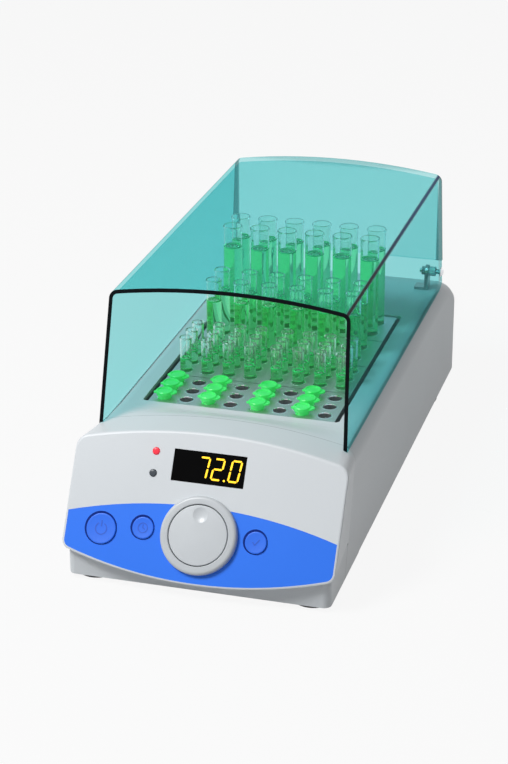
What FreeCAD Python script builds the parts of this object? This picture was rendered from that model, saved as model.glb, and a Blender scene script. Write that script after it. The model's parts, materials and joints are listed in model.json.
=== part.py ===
"""Dry block heater with four aluminium tube blocks, a hinged clear cover and a sloping control front.

Frame: millimetres, +Z up, -Y is the front, origin under the middle of the footprint.
"""
import FreeCAD, Part
import math
import os

import Sketcher
from FreeCAD import Placement, Rotation, Vector

os.makedirs("parts", exist_ok=True)
doc = FreeCAD.newDocument("dry_block_heater")

# Driving sizes, in millimetres and degrees
SIZES = {
    "overall_length": 471.8, "housing_width": 205.0, "deck_height": 101.0, "wall": 3.0,
    "shoulder_radius": 14.0, "foot_height": 4.0, "foot_radius": 16.5, "foot_inset": 17.5,
    "front_foot_y": -205.0, "rear_foot_y": 170.0, "fit_gap": 0.3, "running_gap": 0.08,
    "rear_drop": 15.0, "rear_curve_length": 44.0,
    "face_tilt": 31.0, "face_overhang": 3.8, "face_crest": 111.6, "face_shoulder": 100.1,
    "face_lip": 13.9, "face_lip_side": 27.8, "face_top_radius": 11.0, "face_bottom_radius": 8.0,
    "cap_depth_low": 64.8, "seam_lean": 17.2, "seam_step": 0.5, "seam_crest": 110.0,
    "seam_shoulder": 99.0, "face_edge_radius": 1.2, "plinth_setback": 10.9,
    "deck_rim": 23.0, "opening_length": 225.0, "opening_front_y": -110.4, "apron_flat": 3.6,
    "tray_wall": 2.5, "tray_floor": 4.0, "tray_floor_z": 36.0, "tray_flange": 6.0,
    "heater_thickness": 2.0, "insulation_thickness": 11.0,
    "block_side_gap": 4.0, "block_depth": 55.0, "block_height": 60.0, "block_gap": 0.8,
    "well_depth": 40.0, "well_floor": 8.0, "tube_clearance": 0.3,
    "fine_edge": 10.4, "fine_row_pitch": 16.7, "middle_gap": 4.2,
    "coarse_edge": 16.0, "coarse_row_pitch": 24.3,
    "micro_radius": 5.2, "micro_lid_radius": 6.4, "micro_lid_height": 2.2, "micro_rise": 4.0,
    "small_radius": 4.8, "small_rise": 29.0, "medium_radius": 6.3, "medium_rise": 57.0,
    "large_radius": 7.9, "large_rise": 85.0, "glass": 1.0, "fill_below_rim": 18.0,
    "cover_length": 337.0, "cover_sheet": 3.0, "cover_setback": 4.5, "cover_flare": 4.0,
    "cover_rise": 101.0, "cover_crown": 7.7, "cover_fold_radius": 7.0, "cover_lean": 22.0,
    "cover_rear_inset": 35.9, "cover_foot_drop": 1.0, "cover_clearance": 0.5,
    "pivot_rise": 16.5, "pivot_to_back": 14.0, "pivot_screw_radius": 2.0, "screw_head_radius": 4.2,
    "bracket_half": 5.5, "bracket_sheet": 3.0, "bracket_foot": 9.0,
    "knob_up": 21.5, "bezel_radius": 29.6, "dial_radius": 22.6, "dial_shaft_radius": 3.0,
    "power_across": -76.3, "power_up": 17.3, "power_radius": 11.6,
    "small_button_across": 43.9, "small_button_up": 21.8, "small_button_radius": 8.3,
    "button_travel": 1.0, "button_proud": 1.6, "button_bevel": 0.5, "button_stem": 2.4,
    "bezel_proud": 5.0, "bezel_bevel": 2.6, "dial_proud": 4.8, "dial_bevel": 0.7,
    "dimple_radius": 5.8, "dimple_inset": 7.4, "dimple_depth": 1.2,
    "window_width": 56.6, "window_height": 24.1, "window_up": 72.0,
    "led_across": -42.5, "led_radius": 2.8, "status_led_up": 80.3, "heat_led_up": 63.6,
    "overlay_margin": 1.8, "overlay_thickness": 0.5, "overlay_crest": 43.0, "overlay_side": 27.7,
    "board_depth": 17.0, "board_thickness": 1.6, "base_sheet": 1.5,
    "inlet_inset": 44.5, "inlet_height": 44.0, "inlet_wide": 27.0, "inlet_tall": 19.5,
}


class Size:
    """A length that knows its number and the sheet formula that gives it."""

    def __init__(self, number, formula):
        self.number = float(number)
        self.formula = formula

    def _join(self, sign, other, number, swapped=False):
        text = other.formula if isinstance(other, Size) else repr(other)
        pair = (text, self.formula) if swapped else (self.formula, text)
        return Size(number, "(%s %s %s)" % (pair[0], sign, pair[1]))

    def __add__(self, other):
        return self._join("+", other, self.number + float(other))

    def __radd__(self, other):
        return self._join("+", other, float(other) + self.number, True)

    def __sub__(self, other):
        return self._join("-", other, self.number - float(other))

    def __rsub__(self, other):
        return self._join("-", other, float(other) - self.number, True)

    def __mul__(self, other):
        return self._join("*", other, self.number * float(other))

    __rmul__ = __mul__

    def __truediv__(self, other):
        return self._join("/", other, self.number / float(other))

    def __rtruediv__(self, other):
        return self._join("/", other, float(other) / self.number, True)

    def __neg__(self):
        return Size(-self.number, "(0 - %s)" % self.formula)

    def __float__(self):
        return self.number


def make_sheet(sizes):
    """Write every driving size to the sheet and hand back one Size for each."""
    sheet = doc.addObject("Spreadsheet::Sheet", "Sizes")
    found = {}
    for row, (alias, number) in enumerate(sizes.items(), start=1):
        sheet.set("A%d" % row, alias)
        sheet.set("B%d" % row, str(number))
        sheet.setAlias("B%d" % row, alias)
        found[alias] = Size(number, "Sizes." + alias)
    doc.recompute()
    return found


size = make_sheet(SIZES)
NODES = {}

# Widths and heights that follow from the driving ones
size["face_width"] = size["housing_width"] + 2 * size["face_overhang"]
size["seam_width"] = size["housing_width"] + 2 * size["seam_step"]
size["opening_width"] = size["housing_width"] - 2 * size["deck_rim"]
size["block_width"] = size["opening_width"] - 2 * size["block_side_gap"]
size["fine_pitch"] = (size["block_width"] - 2 * size["fine_edge"] - size["middle_gap"]) / 7
size["coarse_pitch"] = (size["block_width"] - 2 * size["coarse_edge"]) / 5
size["foot_across"] = size["housing_width"] / 2 - size["foot_inset"]
size["cover_foot_width"] = size["housing_width"] - 2 * size["cover_setback"]
size["cover_top_width"] = size["cover_foot_width"] - 2 * size["cover_flare"]
size["cover_foot_z"] = size["deck_height"] - size["cover_foot_drop"]
size["cover_corner_z"] = size["deck_height"] + size["cover_rise"]
size["pivot_z"] = size["deck_height"] + size["pivot_rise"]

# Repeated and small round pieces are regular prisms with this many sides
HIDDEN_SIDES = 6
TUBE_SIDES = 8
FEW_SIDES = 12
MORE_SIDES = 16
BUTTON_SIDES = 24
DIAL_SIDES = 32


def flats(sides):
    """How far a regular polygon's flats lie from its middle, as a share of its corners' distance."""
    return math.cos(math.pi / sides)


def sine(angle):
    return Size(math.sin(math.radians(float(angle))), "sin(%s * 1 deg)" % angle.formula)


def cosine(angle):
    return Size(math.cos(math.radians(float(angle))), "cos(%s * 1 deg)" % angle.formula)


def bind(item, prop, amount):
    """Tie a property to its formula, or set a plain number."""
    if isinstance(amount, Size):
        item.setExpression(prop, amount.formula)
    else:
        setattr(item, prop, amount)


def place(item, at, turn=Rotation()):
    """Set a placement whose base follows the sheet."""
    item.Placement = Placement(Vector(*[float(a) for a in at]), turn)
    for axis, amount in zip("xyz", at):
        if isinstance(amount, Size):
            item.setExpression(".Placement.Base." + axis, amount.formula)
    return item


def solid(kind, name, at=(0, 0, 0), turn=Rotation(), **amounts):
    """One Part primitive with its sizes and place bound to the sheet."""
    item = doc.addObject("Part::" + kind, name)
    for prop, amount in amounts.items():
        bind(item, prop, amount)
    return place(item, at, turn)


def block_between(name, low, high):
    """A box from its low corner to its high corner."""
    spans = [b - a for a, b in zip(low, high)]
    return solid("Box", name, at=low, Length=spans[0], Width=spans[1], Height=spans[2])


def fuse(name, *items):
    item = doc.addObject("Part::MultiFuse", name)
    item.Shapes = list(items)
    return item


def cut(name, base, *tools):
    item = doc.addObject("Part::Cut", name)
    item.Base = base
    item.Tool = tools[0] if len(tools) == 1 else fuse(name + "_tools", *tools)
    return item


def group(name, items):
    """Separate solids that share one node."""
    item = doc.addObject("Part::Compound", name)
    item.Links = list(items)
    return item


def feature(name, shape, placement=None):
    """A shape that is lofted or swept in code."""
    item = doc.addObject("Part::Feature", name)
    item.Shape = shape
    if placement:
        item.Placement = placement
    return item


def node(label, item):
    item.Label = label
    NODES[label] = item
    return item


ALONG_X = Rotation(Vector(0, 1, 0), 90)
ALONG_Y = Rotation(Vector(1, 0, 0), -90)

half_length = size["overall_length"] / 2
half_width = size["housing_width"] / 2
wall = size["wall"]
gap = size["fit_gap"]
running = size["running_gap"]
floor_z = size["foot_height"]
deck_z = size["deck_height"]
under_deck_z = deck_z - wall
opening_rear_y = size["opening_front_y"] + size["opening_length"]
tilt = float(size["face_tilt"])
# The face's rim is rounded in short steps, and the first step at its lip is the front of the part
RIM_TURNS = (0, 45, 90)
rim_back, rim_rise = (1 - trig(math.radians(RIM_TURNS[1])) for trig in (math.cos, math.sin))
face_slope = sine(size["face_tilt"]) / cosine(size["face_tilt"])
lip_rounding = size["face_edge_radius"] * (rim_back / cosine(size["face_tilt"]) + rim_rise * face_slope)
face_foot_y = -half_length - size["face_lip"] * face_slope - lip_rounding
FACE_TURN = Rotation(Vector(1, 0, 0), 90 - tilt)
face_base_z = size["face_lip_side"]


def on_face(item, across, up, out=0):
    """Stand a piece on the sloping face: across, up the slope, and out along its normal."""
    slope_sine, slope_cosine = sine(size["face_tilt"]), cosine(size["face_tilt"])
    start_y = face_foot_y + face_base_z * slope_sine / slope_cosine
    y = start_y + up * slope_sine - out * slope_cosine
    z = face_base_z + up * slope_cosine + out * slope_sine
    return place(item, (across, y, z), FACE_TURN)


def bow(middle, side, half):
    """Radius and centre height of the arc that rises from side to middle over a half chord."""
    rise = middle - side
    radius = (half * half + rise * rise) / (2 * rise)
    return radius, middle - radius


def corner(half, side, middle, radius):
    """Centre and the two touching points of a corner arc between an upright side and a bowed edge."""
    inner = half - radius
    if abs(middle - side) < 0.01:
        centre = (inner, side - radius)
        return centre, (half, centre[1]), (inner, side)
    arc_radius, arc_centre = bow(middle, side, half)
    rise = math.sqrt((arc_radius - radius) ** 2 - inner ** 2)
    centre = (inner, arc_centre + rise)
    stretch = arc_radius / (arc_radius - radius)
    return centre, (half, centre[1]), (inner * stretch, arc_centre + rise * stretch)


def outline(half, top_side, top_middle, low_side, low_middle, top_radius, low_radius):
    """Points of a closed outline with upright sides, a bowed top and foot, and round corners."""
    top = corner(half, top_side, top_middle, top_radius)
    low = corner(half, -low_side, -low_middle, low_radius)

    def elbow(found, radius):
        centre, side_point, edge_point = found
        middle = Vector(side_point[0] + edge_point[0] - 2 * centre[0],
                        side_point[1] + edge_point[1] - 2 * centre[1], 0).normalize()
        return centre[0] + radius * middle.x, centre[1] + radius * middle.y

    top_elbow = elbow(top, top_radius)
    low_elbow = elbow(low, low_radius)
    right = [(top[2], top_elbow, top[1]), ((low[1][0], -low[1][1]), (low_elbow[0], -low_elbow[1]),
                                           (low[2][0], -low[2][1]))]
    return right, (0, top_middle), (0, low_middle)


def section_wire(foot_y, lean, half, top_side, top_middle, low_side, low_middle,
                 top_radius, low_radius, inset=0.0):
    """One closed section of the casing in a plane that leans back by an angle."""
    slope = math.cos(math.radians(lean))
    top_radius, low_radius = max(top_radius - inset, 1.0), max(low_radius - inset, 1.0)
    heights = [(top_side - inset) / slope, (top_middle - inset) / slope,
               (low_side + inset) / slope, (low_middle + inset) / slope]
    right, top_mid, low_mid = outline(half - inset, *heights, top_radius, low_radius)

    def spot(point, mirror=1):
        return Vector(mirror * point[0], foot_y + point[1] * math.sin(math.radians(lean)), point[1] * slope)

    def curve(start, middle, end):
        if middle is None or abs((middle - start).cross(end - start).Length) < 1e-6:
            return Part.LineSegment(start, end).toShape()
        return Part.Arc(start, middle, end).toShape()

    (top_in, top_elbow, top_out), (low_out, low_elbow, low_in) = right
    edges = [curve(spot(top_in), spot(top_elbow), spot(top_out)),
             curve(spot(top_out), None, spot(low_out)),
             curve(spot(low_out), spot(low_elbow), spot(low_in)),
             curve(spot(low_in), spot(low_mid), spot(low_in, -1)),
             curve(spot(low_in, -1), spot(low_elbow, -1), spot(low_out, -1)),
             curve(spot(low_out, -1), None, spot(top_out, -1)),
             curve(spot(top_out, -1), spot(top_elbow, -1), spot(top_in, -1)),
             curve(spot(top_in, -1), spot(top_mid), spot(top_in))]
    return Part.Wire(edges)


number = {alias: float(amount) for alias, amount in size.items()}
seam_foot_y = float(face_foot_y) + number["cap_depth_low"]


def face_section(shift=0.0, inset=0.0):
    return section_wire(float(face_foot_y) + shift, tilt, number["face_width"] / 2,
                        number["face_shoulder"], number["face_crest"], number["face_lip_side"],
                        number["face_lip"], number["face_top_radius"], number["face_bottom_radius"], inset)


CAP_STEPS = (1 / 3, 2 / 3, 1)


def cap_section(part_way):
    """The cap's section on its way from the sloping face to the seam."""
    def mix(face, seam):
        return face + (seam - face) * part_way

    return section_wire(mix(float(face_foot_y), seam_foot_y), mix(tilt, number["seam_lean"]),
                        mix(number["face_width"], number["seam_width"]) / 2,
                        mix(number["face_shoulder"], number["seam_shoulder"]),
                        mix(number["face_crest"], number["seam_crest"]),
                        number["face_lip_side"], number["face_lip"] + part_way,
                        number["face_top_radius"] + 2 * part_way, number["face_bottom_radius"])


def cap_solid():
    """The front cap's bulk: the arched face, its rounded rim, and the walls back to the seam."""
    rim = number["face_edge_radius"]
    turns = [math.radians(turn) for turn in RIM_TURNS]
    slope = math.cos(math.radians(tilt))
    rounded = [face_section(rim * (1 - math.cos(turn)) / slope, rim * (1 - math.sin(turn))) for turn in turns]
    return Part.makeLoft(rounded + [cap_section(part_way) for part_way in CAP_STEPS], True, True)


def hollow_wire(foot_y, lean, half, side, middle, low_side, low_middle, top_cut, low_cut):
    """A straight-sided section for the inside of the mouldings, in a plane that leans back by an angle."""
    knee = 0.45 * half
    right = [(knee, low_middle), (half - low_cut, low_side), (half, low_side + low_cut),
             (half, side - top_cut), (half - top_cut, side), (knee, middle)]
    spots = right + [(-x, z) for x, z in reversed(right)]
    points = [Vector(x, foot_y + z * math.tan(math.radians(lean)), z) for x, z in spots]
    return Part.makePolygon(points + points[:1])


CORNER_CUT = 9.5


def cap_hollow():
    """The space inside the cap, open at the seam. Its flat middles stay a wall inside the bowed edges."""
    thick = number["wall"]
    past_seam = 5.0
    face_y = float(face_foot_y) + thick / math.cos(math.radians(tilt))
    sections = []
    for foot_y, lean, width, shoulder, crest in (
            (face_y, tilt, number["face_width"], number["face_shoulder"], number["face_crest"]),
            (seam_foot_y + past_seam, number["seam_lean"], number["seam_width"], number["seam_shoulder"],
             number["seam_crest"])):
        low_side, lip = number["face_lip_side"], number["face_lip"]
        sections.append(hollow_wire(foot_y, lean, width / 2 - thick, shoulder - thick,
                                    shoulder + 0.75 * (crest - shoulder) - thick, low_side + thick,
                                    lip + 0.25 * (low_side - lip) + thick, CORNER_CUT, CORNER_CUT / 2))
    return Part.makeLoft(sections, True, True)


def apron_section(part_way):
    """The housing's own section on its way from the arched seam to the flat deck."""
    ease = part_way * part_way * (3 - 2 * part_way)
    end_y = number["opening_front_y"] - number["apron_flat"]
    foot_y = seam_foot_y + (end_y - seam_foot_y) * part_way
    side = number["seam_shoulder"] + (number["deck_height"] - number["seam_shoulder"]) * ease
    crown = (number["seam_crest"] - number["seam_shoulder"]) * (1 - ease)
    return section_wire(foot_y, number["seam_lean"] * (1 - part_way), number["housing_width"] / 2, side,
                        side + crown, number["foot_height"], number["foot_height"],
                        number["shoulder_radius"], 1.0)


def rear_curve(thick):
    """Places and heights down the rear curve, on the outside or a wall inside it."""
    run, drop = number["rear_curve_length"], number["rear_drop"]
    start_y = float(half_length) - run
    radius = (run * run + drop * drop) / (2 * drop) - thick
    sweep = math.asin((run - thick) / radius)
    for step in REAR_STEPS:
        turn = sweep * step
        yield start_y + radius * math.sin(turn), number["deck_height"] - thick - radius * (1 - math.cos(turn))


APRON_STEPS = [step / 6 for step in range(7)]
REAR_STEPS = [step / 5 for step in range(6)]


def casing_solid():
    """The long body: apron, flat deck and rear curve in one run of sections with round shoulders."""
    sections = [apron_section(part_way) for part_way in APRON_STEPS]
    for y, top in rear_curve(0.0):
        sections.append(section_wire(y, 0.0, number["housing_width"] / 2, top, top, number["foot_height"],
                                     number["foot_height"], number["shoulder_radius"], 1.0))
    return Part.makeLoft(sections, True, True)


def casing_hollow():
    """The space inside the long body, open to the cap at the seam and to the base plate below."""
    thick = number["wall"]
    before_seam = 5.0
    half = number["housing_width"] / 2 - thick
    low = number["foot_height"] - 2.0
    crown = 0.75 * (number["seam_crest"] - number["seam_shoulder"])
    front_side, flat = number["seam_shoulder"] - thick, number["deck_height"] - thick
    deck_y = number["opening_front_y"] - number["apron_flat"]
    sections = [hollow_wire(seam_foot_y - before_seam, number["seam_lean"], half, front_side,
                            front_side + crown, low, low, CORNER_CUT, 1.0),
                hollow_wire(deck_y, 0.0, half, flat, flat, low, low, CORNER_CUT, 1.0)]
    for y, top in rear_curve(thick):
        sections.append(hollow_wire(y, 0.0, half, top, top, low, low, CORNER_CUT, 1.0))
    return Part.makeLoft(sections, True, True)


def make_housing():
    """Moulded casing: long body, eased apron and front plinth, hollow, with the deck opening."""
    plinth_front = -float(half_length) + number["plinth_setback"]
    plinth_end = number["opening_front_y"] - number["apron_flat"] - 20
    across = number["housing_width"] / 2
    foot_z = number["foot_height"]
    plinth = Part.makeBox(2 * across, plinth_end - plinth_front, number["face_lip_side"] + 2 - foot_z,
                          Vector(-across, plinth_front, foot_z))
    uprights = [edge for edge in plinth.Edges
                if abs(edge.CenterOfMass.y - plinth_front) < 0.01 and abs(edge.tangentAt(0).z) > 0.9]
    plinth = plinth.makeFillet(6.0, uprights)
    hollow_front = plinth_front + number["wall"]
    plinth_hollow = Part.makeBox(2 * (across - number["wall"]), plinth_end - hollow_front, 60,
                                 Vector(number["wall"] - across, hollow_front, number["foot_height"] - 1))
    shell = casing_solid().fuse(plinth).cut(cap_solid())
    shell = shell.cut(casing_hollow()).cut(plinth_hollow)
    opening = Part.makeBox(number["opening_width"], number["opening_length"], 20,
                           Vector(-number["opening_width"] / 2, number["opening_front_y"],
                                  number["deck_height"] - 15))
    posts = [edge for edge in opening.Edges if abs(edge.tangentAt(0).z) > 0.9]
    return shell.cut(opening.makeFillet(3.0, posts))


def arch_prism(margin, low, high):
    """The face outline, moved in by a margin, as a prism in the face's own frame."""
    slope = cosine(size["face_tilt"])
    shift = face_base_z / slope
    side, crest = float(size["face_shoulder"] / slope - shift), float(size["face_crest"] / slope - shift)
    low_side, lip = 0.0, float(size["face_lip"] / slope - shift)
    wire = section_wire(0, 0, number["face_width"] / 2, side, crest, low_side, lip,
                        number["face_top_radius"], number["face_bottom_radius"], margin)
    prism = Part.Face(wire).extrude(Vector(0, low - high, 0))
    return prism.transformed(Placement(Vector(0, 0, low), Rotation(Vector(1, 0, 0), -90)).toMatrix())


def face_hole(radius, across, up, sides=MORE_SIDES):
    """A many-sided bar through the face whose flats clear a radius."""
    turns = [2 * math.pi * step / sides for step in range(sides)]
    reach = radius / flats(sides)
    points = [Vector(across + reach * math.cos(turn), up + reach * math.sin(turn), -8) for turn in turns]
    return Part.Face(Part.makePolygon(points + points[:1])).extrude(Vector(0, 0, 16))


def face_holes():
    """Holes for the buttons and the dial's shaft, shared by the inlay and the cap."""
    holes = [face_hole(radius + number["fit_gap"], across, up) for _, across, up, radius in BUTTONS]
    return holes + [face_hole(number["dial_shaft_radius"] + 0.6, 0, number["knob_up"], FEW_SIDES)]


face_start_y = float(face_foot_y) + number["face_lip_side"] * math.tan(math.radians(tilt))
face_frame = Placement(Vector(0, face_start_y, number["face_lip_side"]), FACE_TURN)
BUTTONS = [("power_button", number["power_across"], number["power_up"], number["power_radius"]),
           ("timer_button", -number["small_button_across"], number["small_button_up"],
            number["small_button_radius"]),
           ("set_button", number["small_button_across"], number["small_button_up"],
            number["small_button_radius"])]


def make_overlay():
    """The coloured inlay on the lower part of the face, with holes for the dial's shaft and the buttons."""
    thick = number["overlay_thickness"]
    band = arch_prism(number["overlay_margin"], -thick, 0)
    half = number["face_width"] / 2
    side, crest = Vector(half, number["overlay_side"], 0), Vector(0, number["overlay_crest"], 0)
    edges = [Part.Arc(side, crest, Vector(-side.x, side.y, 0)).toShape()]
    below = [Vector(-half, side.y, 0), Vector(-half, -40, 0), Vector(half, -40, 0), side]
    edges += [Part.LineSegment(a, b).toShape() for a, b in zip(below, below[1:])]
    keep = Part.Face(Part.Wire(edges)).extrude(Vector(0, 0, 4))
    keep.translate(Vector(0, 0, -2))
    band = band.common(keep)
    return band.cut(face_holes())


def make_cap():
    """The front moulding: a hollow cap with windows and holes in its sloping face."""
    outer, inner = cap_solid(), cap_hollow()
    lamp_radius = number["led_radius"] + 0.15
    through = face_holes() + [face_hole(lamp_radius, number["led_across"], number[up], FEW_SIDES)
                              for up in ("status_led_up", "heat_led_up")]
    width, height = number["window_width"], number["window_height"]
    window = Part.makeBox(width, height, 16, Vector(-width / 2, number["window_up"] - height / 2, -8))
    tools = [tool.transformed(face_frame.toMatrix()) for tool in through + [window]]
    recess = make_overlay().transformed(face_frame.toMatrix())
    return outer.cut(inner).cut(tools).cut(recess)


node("front_cap", feature("front_cap_shape", make_cap()))
node("control_overlay", feature("control_overlay_shape", make_overlay(), face_frame))


def body_on_face(name, across, up):
    body = doc.addObject("PartDesign::Body", name)
    on_face(body, across, up)
    return body


def origin_plane(body, role):
    return [item for item in body.Origin.OriginFeatures if item.Role == role][0]


def add_ring(body, kind, name, low, high, radius, sides=0):
    """Add or take away a round or many-sided bar on the body's upright axis, bound to the sheet."""
    shape = "Prism" if sides else "Cylinder"
    item = body.newObject("PartDesign::%s%s" % (kind, shape), name)
    item.AttachmentSupport = (origin_plane(body, "XY_Plane"), [""])
    item.MapMode = "FlatFace"
    item.AttachmentOffset = Placement(Vector(0, 0, float(low)), Rotation())
    if isinstance(low, Size):
        item.setExpression(".AttachmentOffset.Base.z", low.formula)
    if sides:
        item.Polygon = sides
    for prop, amount in (("Circumradius" if sides else "Radius", radius), ("Height", high - low)):
        bind(item, prop, amount)
    doc.recompute()
    return item


def bevel_top(body, name, last, height, amount):
    """Bevel the outer top edges of a body's last feature."""
    reach = max(vertex.Point.x for vertex in last.Shape.Vertexes)
    edges = ["Edge%d" % index for index, edge in enumerate(last.Shape.Edges, start=1)
             if all(abs(vertex.Z - float(height)) < 1e-6 and math.hypot(vertex.X, vertex.Y) > reach - 0.01
                    for vertex in edge.Vertexes)]
    item = body.newObject("PartDesign::Chamfer", name)
    item.Base = (last, edges)
    bind(item, "Size", amount)
    doc.recompute()
    return item


def face_bar(name, across, up, low, high, radius, sides=0):
    """A bar square to the face, round or with a number of sides."""
    if sides:
        item = solid("Prism", name, Polygon=sides, Circumradius=radius, Height=high - low)
    else:
        item = solid("Cylinder", name, Radius=radius, Height=high - low)
    return on_face(item, across, up, low)


def make_button(label, across, up, radius):
    """A round cap with a flange behind the face and a stem down to its switch."""
    body = body_on_face(label + "_body", across, up)
    back = -(wall + gap)
    proud = size["button_proud"]
    cap = add_ring(body, "Additive", label + "_cap", back - 1.2, proud, radius, BUTTON_SIDES)
    bevel_top(body, label + "_bevel", cap, proud, size["button_bevel"])
    add_ring(body, "Additive", label + "_flange", back - 1.2, back, radius + 1.5, FEW_SIDES)
    switch_top = -(size["board_depth"] - 4.5)
    add_ring(body, "Additive", label + "_stem", switch_top, back, size["button_stem"], TUBE_SIDES)
    return node(label, body)


make_button("power_button", size["power_across"], size["power_up"], size["power_radius"])
make_button("timer_button", -size["small_button_across"], size["small_button_up"], size["small_button_radius"])
make_button("set_button", size["small_button_across"], size["small_button_up"], size["small_button_radius"])

# The dial turns inside a fixed bezel ring
bezel = body_on_face("dial_bezel_body", 0, size["knob_up"])
ring, inside = size["bezel_radius"], size["dial_radius"] + 2 * gap
zero = Size(0.0, "0")
bezel_ring = add_ring(bezel, "Additive", "bezel_ring", zero, size["bezel_proud"], ring, DIAL_SIDES)
bevel_top(bezel, "bezel_bevel", bezel_ring, size["bezel_proud"], size["bezel_bevel"])
add_ring(bezel, "Subtractive", "bezel_inside", zero - 1, size["bezel_proud"] + 1, inside, DIAL_SIDES)
node("dial_bezel", bezel)
dial = body_on_face("dial_body", 0, size["knob_up"])
disc = add_ring(dial, "Additive", "dial_disc", gap, size["dial_proud"], size["dial_radius"], DIAL_SIDES)
bevel_top(dial, "dial_bevel", disc, size["dial_proud"], size["dial_bevel"])
add_ring(dial, "Additive", "dial_shaft", -(size["board_depth"] - 8.0), gap + 1, size["dial_shaft_radius"])
dimple_floor = size["dial_proud"] - size["dimple_depth"]
dimple = add_ring(dial, "Subtractive", "dimple", dimple_floor, size["dial_proud"] + 1, size["dimple_radius"],
                  MORE_SIDES)
dimple_up = size["dial_radius"] - size["dimple_inset"]
dimple.AttachmentOffset = Placement(Vector(0, float(dimple_up), dimple.AttachmentOffset.Base.z), Rotation())
dimple.setExpression(".AttachmentOffset.Base.y", dimple_up.formula)
node("dial", dial)


def face_box(name, across, up, back, width, height, thick):
    """A box on the face plane, centred across and up, with its front at a depth behind the face."""
    item = solid("Box", name, Length=width, Width=height, Height=thick)
    return on_face(item, across - width / 2, up - height / 2, -(back + thick))


lens_plate = face_box("lens_plate", zero, size["window_up"], zero, size["window_width"] - 2 * gap,
                      size["window_height"] - 2 * gap, wall)
lens_flange = face_box("lens_flange", zero, size["window_up"], wall, size["window_width"] + 5,
                       size["window_height"] + 5, Size(1.2, "1.2"))
node("display_window", fuse("display_window_shape", lens_plate, lens_flange))
node("display_module", face_box("display_module_shape", zero, size["window_up"], wall + 1.5,
                                size["window_width"] - 6, size["window_height"] - 5,
                                size["board_depth"] - wall - 1.5))
board = face_box("board_plate", zero, Size(50.0, "50"), size["board_depth"], size["face_width"] - 26,
                 Size(72.0, "72"), size["board_thickness"])
node("control_board", board)


def make_led(label, up):
    across = size["led_across"]
    stem = face_bar(label + "_stem", across, up, -size["board_depth"], 0.4 * gap, size["led_radius"],
                    FEW_SIDES)
    rim = face_bar(label + "_rim", across, up, -(wall + 1.3), -(wall + gap), size["led_radius"] + 1,
                   TUBE_SIDES)
    return node(label, fuse(label + "_shape", stem, rim))


make_led("status_led", size["status_led_up"])
make_led("heating_led", size["heat_led_up"])
encoder_box = face_box("encoder_box", zero, size["knob_up"], size["board_depth"] - 8, Size(13.0, "13"),
                       Size(13.0, "13"), Size(8.0, "8"))
encoder_neck = face_bar("encoder_neck", zero, size["knob_up"], -(size["board_depth"] - 8), -(wall + gap),
                        size["dial_shaft_radius"] + 2.5, FEW_SIDES)
encoder_bore = face_bar("encoder_bore", zero, size["knob_up"], -(size["board_depth"] - 7.5), 2,
                        size["dial_shaft_radius"] + running)
node("dial_encoder", cut("dial_encoder_shape", fuse("encoder_body", encoder_box, encoder_neck), encoder_bore))
node("button_switches", group("button_switches_shape", [
    face_box("switch_%d" % index, across, up, size["board_depth"] - 3.0 - 0.4, Size(6.0, "6"), Size(6.0, "6"),
             Size(3.4, "3.4"))
    for index, (across, up) in enumerate([(size["power_across"], size["power_up"]),
                                          (-size["small_button_across"], size["small_button_up"]),
                                          (size["small_button_across"], size["small_button_up"])])]))

# Heated trough under the deck opening
tray_half = size["opening_width"] / 2 + size["tray_wall"]
tray_front = size["opening_front_y"] - size["tray_wall"]
tray_back = opening_rear_y + size["tray_wall"]
flange = size["tray_flange"]
tray_outer = block_between("tray_outer", (-tray_half, tray_front, size["tray_floor_z"]),
                           (tray_half, tray_back, under_deck_z))
tray_rim = block_between("tray_rim", (-tray_half - flange, tray_front - flange, under_deck_z - 2),
                         (tray_half + flange, tray_back + flange, under_deck_z))
tray_hollow = block_between("tray_hollow", (-size["opening_width"] / 2, size["opening_front_y"],
                                            size["tray_floor_z"] + size["tray_floor"]),
                            (size["opening_width"] / 2, opening_rear_y, deck_z))
node("block_tray", cut("block_tray_shape", fuse("tray_body", tray_outer, tray_rim), tray_hollow))
heater_z = size["tray_floor_z"] - size["heater_thickness"]
node("heater_mat", block_between("heater_mat_shape", (-tray_half + 6, tray_front + 6, heater_z),
                                 (tray_half - 6, tray_back - 6, size["tray_floor_z"])))
around = size["insulation_thickness"]
jacket_outer = block_between("jacket_outer", (-tray_half - around, tray_front - around, heater_z - around),
                             (tray_half + around, tray_back + around, under_deck_z - 14))
jacket_hollow = block_between("jacket_hollow", (-tray_half, tray_front, heater_z), (tray_half, tray_back, deck_z))
cutout_low, cutout_high = (30.0, 20.0, heater_z - 6), (46.0, 34.0, heater_z)
sensor_spot, sensor_length, sensor_radius = (0, -30.0, heater_z - 2.5), 24.0, 2.5
cutout_pocket = block_between("cutout_pocket", [low - gap for low in cutout_low],
                              [high + gap for high in cutout_high])
sensor_pocket = block_between("sensor_pocket", (-sensor_radius - gap, sensor_spot[1] - gap, heater_z - 5 - gap),
                              (sensor_radius + gap, sensor_spot[1] + sensor_length + gap, heater_z + gap))
node("insulation_jacket",
     cut("insulation_jacket_shape", jacket_outer, jacket_hollow, cutout_pocket, sensor_pocket))

block_floor_z = size["tray_floor_z"] + size["tray_floor"]
block_top_z = block_floor_z + size["block_height"]
first_block_y = (size["opening_front_y"] + opening_rear_y) / 2 - 2 * size["block_depth"] - 1.5 * size["block_gap"]


def block_centre(place_number):
    return first_block_y + size["block_depth"] * (place_number + 0.5) + size["block_gap"] * place_number


def fine_spots(place_number):
    """Eight columns with a wider gap in the middle, three rows."""
    for column in range(8):
        side = -0.5 if column < 4 else 0.5
        across = size["fine_pitch"] * (column - 3.5) + size["middle_gap"] * side
        for row in range(3):
            yield column, row, across, block_centre(place_number) + size["fine_row_pitch"] * (row - 1)


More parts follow.
